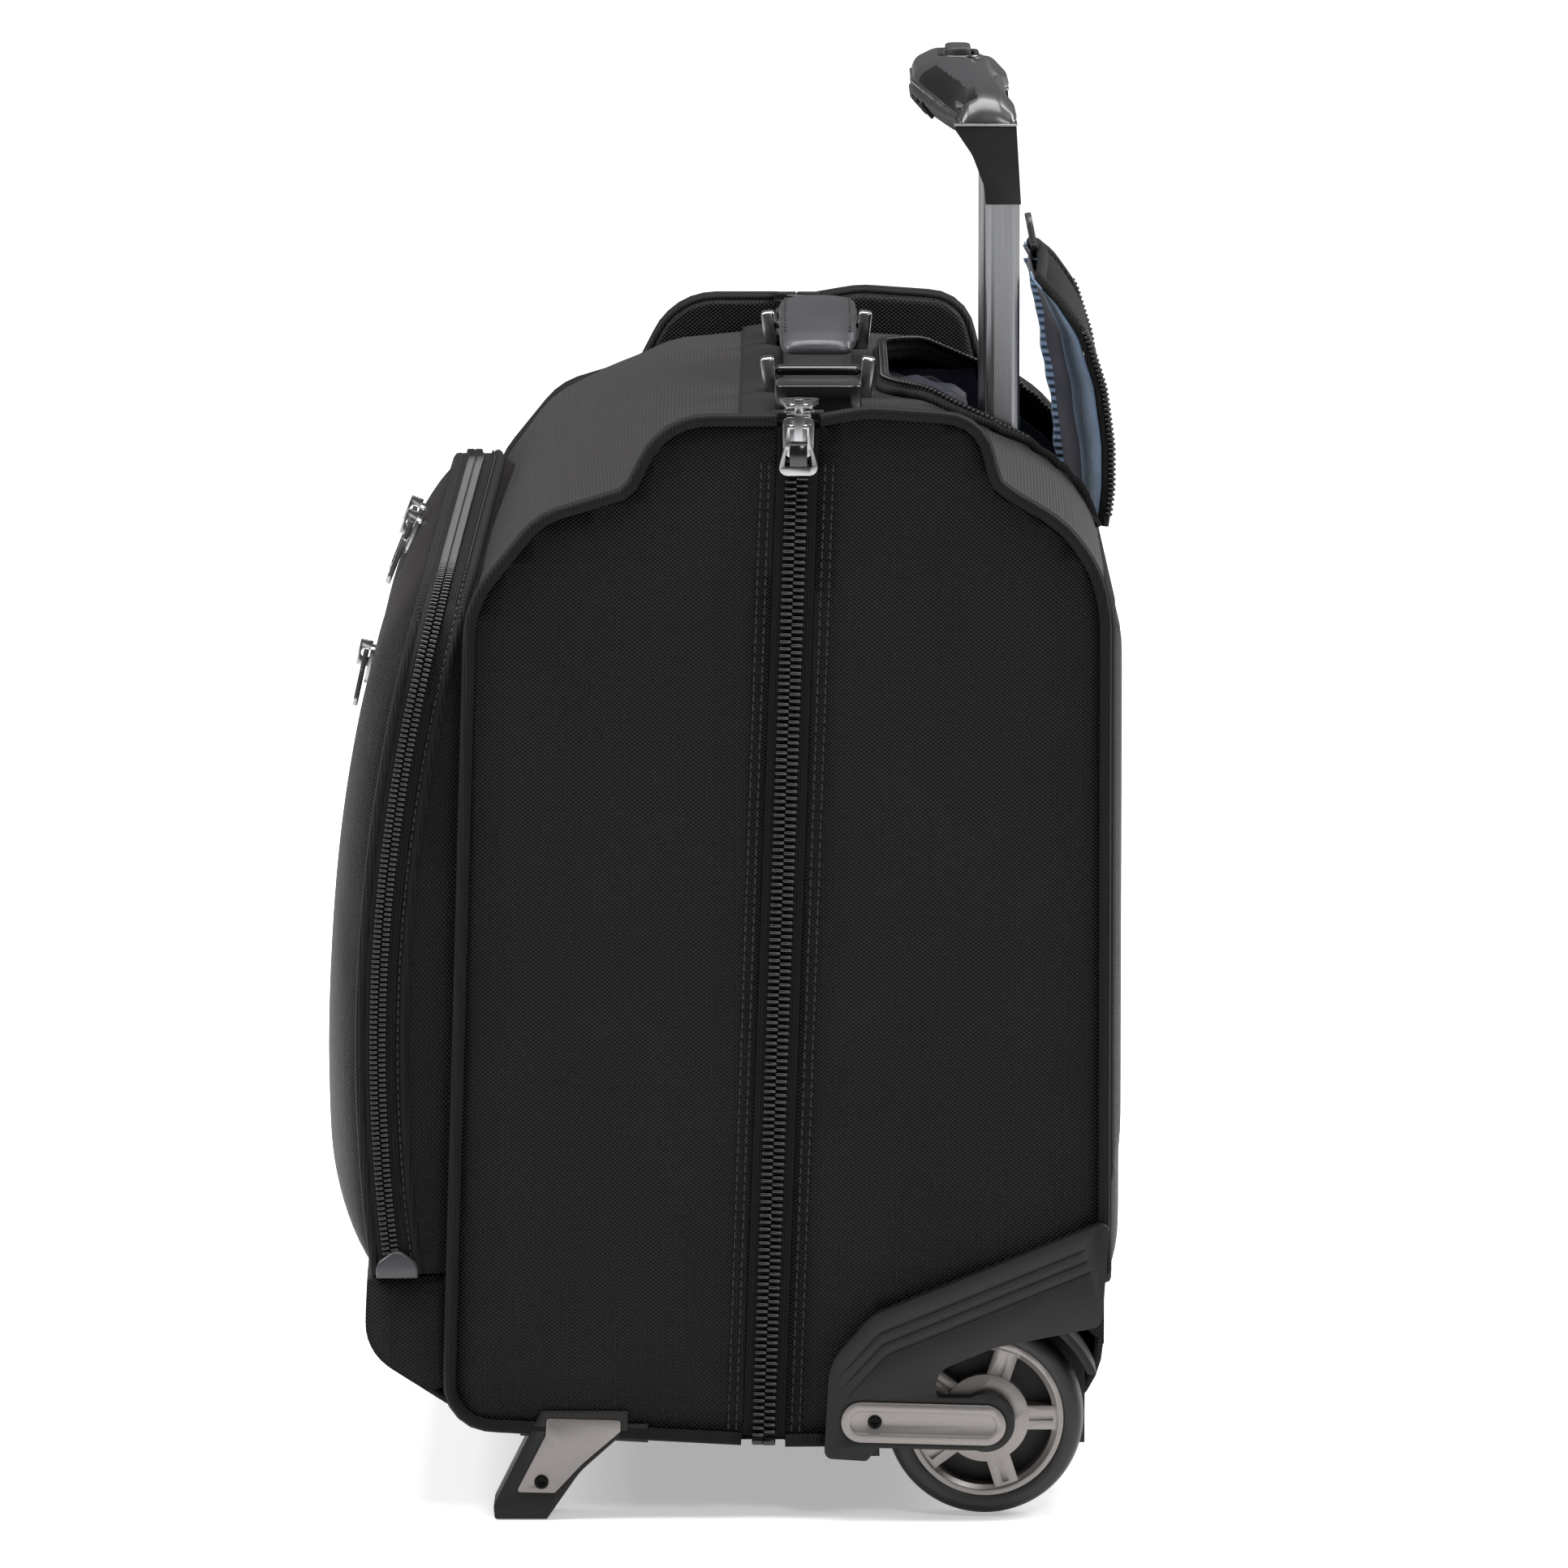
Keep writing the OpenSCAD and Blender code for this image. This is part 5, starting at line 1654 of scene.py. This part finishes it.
@dataclass
class Grip:
    """The moulded handle: a glossy bar that bows forwards between its shoulders, over a soft underside."""

    half: float = 113.0
    end: float = 27.0
    base: float = 512.9
    at_leg: list[Corner] = field(default_factory=lambda: [
        (101.3, 512.9, 0), (108.9, 512.9, 1.5), (107.4, 519, 5), (101.5, 525.4, 6), (94, 526.4, 5),
        (88.4, 523, 4), (86, 517, 3), (85.2, 512.9, 1)])
    at_middle: list[Corner] = field(default_factory=lambda: [
        (86, 513, 3), (97, 513.5, 5), (102, 521, 6), (98.5, 528.5, 6), (90, 532.6, 10), (78, 532.6, 8),
        (70.5, 529, 6), (68.6, 524, 2), (76, 520, 6), (82, 515, 4)])
    below: list[Corner] = field(default_factory=lambda: [
        (68.6, 524, 1), (67.6, 519, 4), (73, 512.5, 6), (79, 508.2, 4), (84, 509.5, 2), (82, 514, 3),
        (77, 520.5, 6)])

    @staticmethod
    def bend(x: float) -> float:
        """Returns how far the bar has turned towards its shoulder at X, from 0 to 1.

        Args:
            x: the place across the case, in millimetres.
        """
        t = min(1.0, max(0.0, (abs(x) - 30) / 62))
        return t * t * (3 - 2 * t)

    def build(self) -> None:
        """Builds the top, the underside, the bright line between them and the button's surround."""
        around = 96
        legs, mids = ([p.copy() for p in resampled(self.closed(line), around + 1)]
                      for line in (self.at_leg, self.at_middle))
        lip = min(range(around), key=lambda i: (mids[i] - Vector((68.6, 524))).length)

        def place(u: float, v: float) -> Vector:
            """Returns the sheet's point at U and V, in millimetres."""
            x = (2 * u - 1) * self.half
            spot = mids[round(v * around)].lerp(legs[round(v * around)], self.bend(x))
            over = max(0.0, (abs(x) - (self.half - self.end)) / self.end)
            cap = math.sqrt(max(0.0004, 1 - over ** 2.2))
            y = 97.5 + (spot.x - 97.5) * (0.82 + 0.18 * cap)
            return Vector((x, y, self.base + (spot.y - self.base) * cap))
        bm = sheet_mesh(place, 84, around, 2 * self.half, 120)
        bmesh.ops.remove_doubles(bm, verts=bm.verts, dist=1e-6)
        bmesh.ops.holes_fill(bm, edges=[e for e in bm.edges if e.is_boundary], sides=0)
        bmesh.ops.recalc_face_normals(bm, faces=bm.faces)
        for face in bm.faces:
            spot = face.calc_center_median() / MM
            shoulder = 44 < abs(spot.x) < 106 and face.normal.y < -0.25 and face.normal.z < 0.86
            face.material_index = 1 if shoulder else 0
        finish_piece(bm, "grip_shell", "top_stage", [Finish.GLOSS, Finish.PATENT], "gloss_grip", True,
                     ["grip_top"])
        edge = [place(0.5 + x / (2 * self.half), lip / around) for x in range(-108, 109, 4)]
        self.underside(edge)
        finish_piece(tube_mesh([p + Vector((0, -0.3, -0.2)) for p in edge], 0.7, 2), "grip_bright_line",
                     "top_stage", [Finish.CHROME], "chrome_plate")
        self.surround()

    @staticmethod
    def closed(line: Sequence[Corner]) -> list[Point]:
        """Returns an outline's points with the first repeated at the end.

        Args:
            line: the outline's corners.
        """
        points = rounded(line, 6)
        return points + points[:1]

    def underside(self, edge: Sequence[Vector]) -> None:
        """Builds the soft underside with its finger ribs, hung from the shell's front lip.

        Args:
            edge: the lip's line from left to right, in millimetres.
        """
        around, half = 60, 88.0
        ring = [p.copy() for p in resampled(self.closed(self.below), around + 1)]

        def slip(x: float) -> Vector:
            """Returns how far the lip has moved at X from its place in the middle."""
            near = min(edge, key=lambda p: abs(p.x - x))
            return Vector((0, near.y - 68.6, near.z - 524.0))

        def place(u: float, v: float) -> Vector:
            """Returns the sheet's point at U and V, in millimetres."""
            x = (2 * u - 1) * half
            size = math.sqrt(max(0.02, 1 - (abs(x) / half) ** 3))
            spot = ring[round(v * around)]
            return Vector((x, 68.6 + (spot.x - 68.6) * size, 524 + (spot.y - 524) * size)) + slip(x) * 0.92
        bm = sheet_mesh(place, 66, around, 2 * half, 60)
        bmesh.ops.remove_doubles(bm, verts=bm.verts, dist=1e-6)
        bmesh.ops.holes_fill(bm, edges=[e for e in bm.edges if e.is_boundary], sides=0)
        bmesh.ops.recalc_face_normals(bm, faces=bm.faces)
        finish_piece(bm, "grip_underside_soft", "top_stage", [Finish.RUBBER], "grip_rubber", True,
                     ["grip_underside"])
        block = block_mesh(Vector((2.4, 8.0, 1.5)), 0.6, 2)
        tilt = Matrix.Rotation(math.radians(-48), 4, "X")
        places = [Matrix.Translation((Vector((x, 70.4, 515.2)) + slip(x) * 0.9) * MM) @ tilt
                  for x in range(-48, 49, 6)]
        finish_piece(copies(block, places), "grip_ribs", "top_stage", [Finish.RUBBER], "grip_rubber")
        bpy.data.meshes.remove(block)

    def surround(self) -> None:
        """Builds the raised oval round the release button."""
        low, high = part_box("release_button")
        near, far = low.y / MM - 2.2, high.y / MM + 2.2
        oval = rounded([(-20, near, 7), (20, near, 7), (20, far, 7), (-20, far, 7)], 8)
        ring = resampled(oval + oval[:1], 60)
        path = [Vector((p.x, p.y, 532.5 - 0.0016 * p.x ** 2)) for p in ring]
        finish_piece(tube_mesh(path, 1.1, 2), "grip_button_surround", "top_stage", [Finish.PATENT],
                     "gloss_grip")


@dataclass
class StrapEnds:
    """The plated side plates and black loops that the carry handle's strap is held in."""

    x: float = 104.0
    y: float = 32.0
    base: float = 406.3

    def build(self) -> None:
        """Builds both brackets, each as two plates, a loop and a pin."""
        plate = block_mesh(Vector((10, 5.4, 17)), 1.3, 3)
        bar = block_mesh(Vector((9, 33, 6.2)), 2.4, 4)
        places, bars = [], []
        for side in (-1, 1):
            for way in (-1, 1):
                tilt = Matrix.Rotation(math.radians(-way * 7), 4, "X")
                places.append(Matrix.Translation(
                    Vector((side * self.x, self.y + way * 18.6, self.base + 8)) * MM) @ tilt)
            bars.append(Matrix.Translation(Vector((side * (self.x + 1), self.y, self.base + 4.2)) * MM))
            bars.append(Matrix.Translation(Vector((side * (self.x - 1), self.y, self.base + 11.2)) * MM)
                        @ Matrix.Scale(0.62, 4, Vector((0, 0, 1))))
        finish_piece(copies(plate, places), "strap_bracket_plates", "rear_half", [Finish.CHROME],
                     "chrome_plate", True, ["handle_brackets"])
        finish_piece(copies(bar, bars), "strap_bracket_loops", "rear_half", [Finish.PATENT], "moulded_abs")
        bpy.data.meshes.remove(plate)
        bpy.data.meshes.remove(bar)


@dataclass
class Interior:
    """The lining: the two divider panels, the garment straps and the handle recess's loose liner."""

    def build(self, frame: dict) -> None:
        """Builds the lining pieces from their CAD nodes.

        Args:
            frame: the loaded frame.
        """
        for node, body in (("rear_lining_panel", "rear_half"), ("front_lining_panel", "front_half"),
                           ("recess_liner", "rear_half")):
            self.crumpled(frame, node, body, Finish.NAVY)
        soften(frame, "garment_straps", Finish.WEBBING, "rear_half", "webbing", 0.3)

    def crumpled(self, frame: dict, node: str, body: str, finish: Finish) -> None:
        """Copies a plain lining solid, cuts it finely and lets it ripple.

        Args:
            frame: the loaded frame.
            node: the CAD node's name.
            body: the body it rides on.
            finish: its finish.
        """
        bm = bmesh.new()
        bm.from_mesh(frame["nodes"][node].data)
        bmesh.ops.remove_doubles(bm, verts=bm.verts, dist=2e-6)
        bmesh.ops.dissolve_limit(bm, angle_limit=math.radians(1.0), verts=bm.verts, edges=bm.edges)
        low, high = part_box(node)
        for axis in range(3):
            count = int((high[axis] - low[axis]) / 0.012)
            for i in range(1, count):
                spot, way = Vector((0, 0, 0)), Vector((0, 0, 0))
                spot[axis] = low[axis] + (high[axis] - low[axis]) * i / count
                way[axis] = 1
                bmesh.ops.bisect_plane(bm, geom=bm.verts[:] + bm.edges[:] + bm.faces[:], plane_co=spot,
                                       plane_no=way)
        middle = (low + high) / 2
        for vert in bm.verts:
            inner = Vector((abs(vert.co[i] - middle[i]) < (high[i] - low[i]) / 2 - 0.004 for i in range(3)))
            spot = vert.co / MM
            push = [ripple(spot, *way) for way in ((30, 0.9, 1.0), (30, 0.9, 4.0), (26, 0.7, 8.0))]
            vert.co += Vector((push[i] * inner[i] for i in range(3))) * MM
        for layer in list(bm.loops.layers.uv):
            bm.loops.layers.uv.remove(layer)
        bm.normal_update()
        box_uv(bm)
        piece = finish_piece(bm, f"{node}_cloth", body, [finish], "lining", True, [node])
        piece.data.set_sharp_from_angle(angle=math.radians(50))


@dataclass
class Trims:
    """The wheels' black cores, a dark inlay on the side pull and the loose lining in the recess."""

    def wheel_cores(self) -> None:
        """Builds the black core that closes the windows between each wheel's spokes."""
        for side, label in ((1, "right"), (-1, "left")):
            turns = [2 * math.pi * i / 60 for i in range(60)]
            outline = [(94.5 + 25.9 * math.cos(a), 37.5 + 25.9 * math.sin(a)) for a in turns]
            bm = prism_mesh(outline, side * 253.5, side * 258.5, 0.4)
            finish_piece(bm, f"wheel_core_{label}", f"wheel_{label}", [Finish.ABS], "moulded_abs")

    def build(self) -> None:
        """Builds the wheels' cores, the side pull's inlay and the loose lining."""
        self.wheel_cores()
        block = block_mesh(Vector((0.8, 6.6, 8.2)), 0.25, 1)
        low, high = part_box("main_pull_side")
        spot = Vector(((low.x + high.x) / 2 + 0.0008, (low.y + high.y) / 2, high.z - 0.0118))
        finish_piece(copies(block, [Matrix.Translation(spot)]), "side_pull_inlay", "side_pull",
                     [Finish.PATENT], "zip_coil")
        bpy.data.meshes.remove(block)

        def place(u: float, v: float) -> Vector:
            """Returns the sheet's point at U and V, in millimetres."""
            x = (2 * u - 1) * 118
            fold = ripple(Vector((x, v * 40, 0)), 17, 6.5, 3.0) + ripple(Vector((x, v * 40, 9)), 8, 1.6, 5.0)
            return Vector((x, 59 + 33 * v, 396 + 4 * math.sin(math.pi * v) - 9 * v + fold * (0.4 + 0.6 * v)))
        bm = sheet_mesh(place, 90, 22, 236, 40)
        face_out(bm, (0, 0, 1))
        fold = finish_piece(bm, "recess_loose_lining", "rear_half", [Finish.NAVY], "lining")
        thicken(fold, 0.8)
        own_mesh(fold)


@dataclass
class Hardware:
    """The moulded, plated and painted parts, each with its edges rounded as made."""

    plan: list[tuple[str, str, Finish, str, float]] = field(default_factory=lambda: [
        ("wheel_housing_left", "rear_half", Finish.ABS, "moulded_abs", 0.8),
        ("wheel_housing_right", "rear_half", Finish.ABS, "moulded_abs", 0.8),
        ("housing_inserts", "rear_half", Finish.PAINT, "warm_metal_paint", 0.5),
        ("feet", "front_half", Finish.ABS, "moulded_abs", 0.9),
        ("foot_inserts", "front_half", Finish.PAINT, "warm_metal_paint", 0.25),
        ("rim_left", "wheel_left", Finish.PAINT, "warm_metal_paint", 0.5),
        ("rim_right", "wheel_right", Finish.PAINT, "warm_metal_paint", 0.5),
        ("tyre_left", "wheel_left", Finish.TYRE, "tyre", 0.6),
        ("tyre_right", "wheel_right", Finish.TYRE, "tyre", 0.6),
        ("grip_collars", "top_stage", Finish.ABS, "moulded_abs", 0.8),
        ("grip_trim", "top_stage", Finish.CHROME, "chrome_plate", 0.15),
        ("release_button", "button", Finish.RUBBER, "grip_rubber", 1.2),
        ("top_bezel", "rear_half", Finish.ABS, "moulded_abs", 0.8),
        ("tube_foot_bracket", "rear_half", Finish.ABS, "moulded_abs", 1.0),
        ("main_slider_side", "side_slider", Finish.CHROME, "chrome_plate", 0.45),
        ("main_pull_side", "side_pull", Finish.CHROME, "chrome_plate", 0.35),
        ("main_slider_top", "rear_half", Finish.CHROME, "chrome_plate", 0.45),
        ("main_pull_top", "top_pull", Finish.CHROME, "chrome_plate", 0.35),
        ("pocket_sliders", "pocket_door", Finish.CHROME, "chrome_plate", 0.45),
        ("pocket_pulls_top", "pocket_top_pulls", Finish.CHROME, "chrome_plate", 0.35),
        ("pocket_pull_lower", "pocket_lower_pull", Finish.CHROME, "chrome_plate", 0.35),
        ("buckle_sockets", "rear_half", Finish.PATENT, "moulded_abs", 1.4),
        ("buckle_plugs", "rear_half", Finish.PATENT, "moulded_abs", 0.8),
        ("housing_screws", "rear_half", Finish.BLACK_STEEL, "black_screw", 0.15),
        ("foot_screws", "front_half", Finish.BLACK_STEEL, "black_screw", 0.15)])
    kept: dict[str, Finish] = field(default_factory=lambda: {
        "tube_outer_left": Finish.ALUMINIUM, "tube_outer_right": Finish.ALUMINIUM,
        "tube_mid_left": Finish.ALUMINIUM, "tube_mid_right": Finish.ALUMINIUM,
        "tube_inner_left": Finish.ALUMINIUM, "tube_inner_right": Finish.ALUMINIUM,
        "axles": Finish.STEEL, "bearings_left": Finish.STEEL, "bearings_right": Finish.STEEL,
        "release_rods": Finish.STEEL, "lock_pins": Finish.STEEL})

    def build(self, frame: dict) -> None:
        """Builds the rounded copies and gives the kept nodes their materials.

        Args:
            frame: the loaded frame.
        """
        for node, body, finish, slot, radius in self.plan:
            soften(frame, node, finish, body, slot, radius, 3 if radius > 1 else 2)
        for node, finish in self.kept.items():
            kept = frame["nodes"][node]
            kept.data.materials.clear()
            kept.data.materials.append(finish.material())


@dataclass
class Studio:
    """A pale seamless floor, four soft lights and the camera at the side of the case."""

    distance: float = 5.28
    height: float = 0.88
    lens: float = 310.4
    pitch: float = 6.86
    ambient: float = 0.12

    def build(self) -> None:
        """Builds the floor, the lights and the camera."""
        scene = bpy.context.scene
        scene.view_settings.view_transform = "Standard"
        world = bpy.data.worlds.new("studio")
        world.use_nodes = True
        tree = world.node_tree
        tree.nodes.clear()
        path = add_node(tree, "ShaderNodeLightPath")
        power = add_node(tree, "ShaderNodeMapRange", {},
                         {"Value": path.outputs["Is Camera Ray"], "To Min": self.ambient, "To Max": 1.0})
        sky = add_node(tree, "ShaderNodeBackground", {},
                       {"Color": linear("#ffffff"), "Strength": power.outputs[0]})
        add_node(tree, "ShaderNodeOutputWorld", {}, {"Surface": sky.outputs[0]})
        scene.world = world
        self.floor()
        for name, spot, size, power in (("key", (0.2, -2.3, 2.2), 1.6, 75),
                                        ("back", (-0.9, 2.0, 1.8), 1.6, 60),
                                        ("top", (0.0, 0.0, 2.8), 2.2, 105),
                                        ("fill", (3.0, 1.2, 2.6), 0.8, 30)):
            light = bpy.data.lights.new(name, "AREA")
            light.energy, light.size = power, size
            lamp = bpy.data.objects.new(name, light)
            lamp.location = spot
            aim = Vector((0, 0, 0.25)) - Vector(spot)
            lamp.rotation_euler = aim.to_track_quat("-Z", "Y").to_euler()
            scene.collection.objects.link(lamp)
        data = bpy.data.cameras.new("camera")
        data.lens, data.sensor_width, data.clip_end = self.lens, 36.0, 60.0
        camera = bpy.data.objects.new("camera", data)
        camera.location = (self.distance, 0.019, self.height)
        down = math.radians(self.pitch)
        aim = Vector((-math.cos(down), 0, -math.sin(down)))
        camera.rotation_euler = aim.to_track_quat("-Z", "Y").to_euler()
        scene.collection.objects.link(camera)
        scene.camera = camera

    def floor(self) -> None:
        """Builds a wide floor with no edge in view; its glow is weakest round the case, a painted soft
        shadow.
        """
        bm = bmesh.new()
        bmesh.ops.create_grid(bm, x_segments=2, y_segments=2, size=20.0)
        mesh = bpy.data.meshes.new("floor")
        bm.to_mesh(mesh)
        bm.free()
        floor = bpy.data.objects.new("floor", mesh)
        floor.location.z = -0.0004
        bpy.context.scene.collection.objects.link(floor)
        tree, bsdf, material = new_material("matt_white_studio_floor", {
            "Base Color": linear("#f4f4f4"), "Roughness": 0.8, "Specular IOR Level": 0.1,
            "Emission Color": linear("#ffffff")})
        coord = add_node(tree, "ShaderNodeTexCoord")
        away = add_node(tree, "ShaderNodeVectorMath", {"operation": "LENGTH"}, {0: coord.outputs["Object"]})
        # Painted shadow: the floor glows least round the case and more with distance from it.
        painted_shadow_glow = add_node(tree, "ShaderNodeMapRange", {"interpolation_type": "SMOOTHSTEP"},
                        {"Value": away.outputs["Value"], "From Min": 0.25, "From Max": 1.1, "To Min": 0.4,
                         "To Max": 1.1})
        path = add_node(tree, "ShaderNodeLightPath")
        seen = add_node(tree, "ShaderNodeMapRange", {},
                        {"Value": path.outputs["Is Camera Ray"], "To Min": 0.3, "To Max": 1.0})
        shown = add_node(tree, "ShaderNodeMath", {"operation": "MULTIPLY"},
                         {0: painted_shadow_glow.outputs[0], 1: seen.outputs[0]})
        tree.links.new(shown.outputs[0], bsdf.inputs["Emission Strength"])
        mesh.materials.append(material)


def main() -> None:
    """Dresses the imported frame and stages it."""
    logging.basicConfig(level=logging.INFO, format="%(name)s %(message)s")
    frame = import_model()
    Studio().build()
    shell = Shell()
    shell.front()
    shell.rear()
    shell.spine()
    shell.recess_rim()
    SidePanels().build()
    MainZip().build()
    Pocket().build()
    RearPanel().build()
    CarryHandle().build()
    Flap().build()
    Grip().build()
    StrapEnds().build()
    Interior().build(frame)
    Trims().build()
    Hardware().build(frame)


if __name__ == "__main__":
    main()
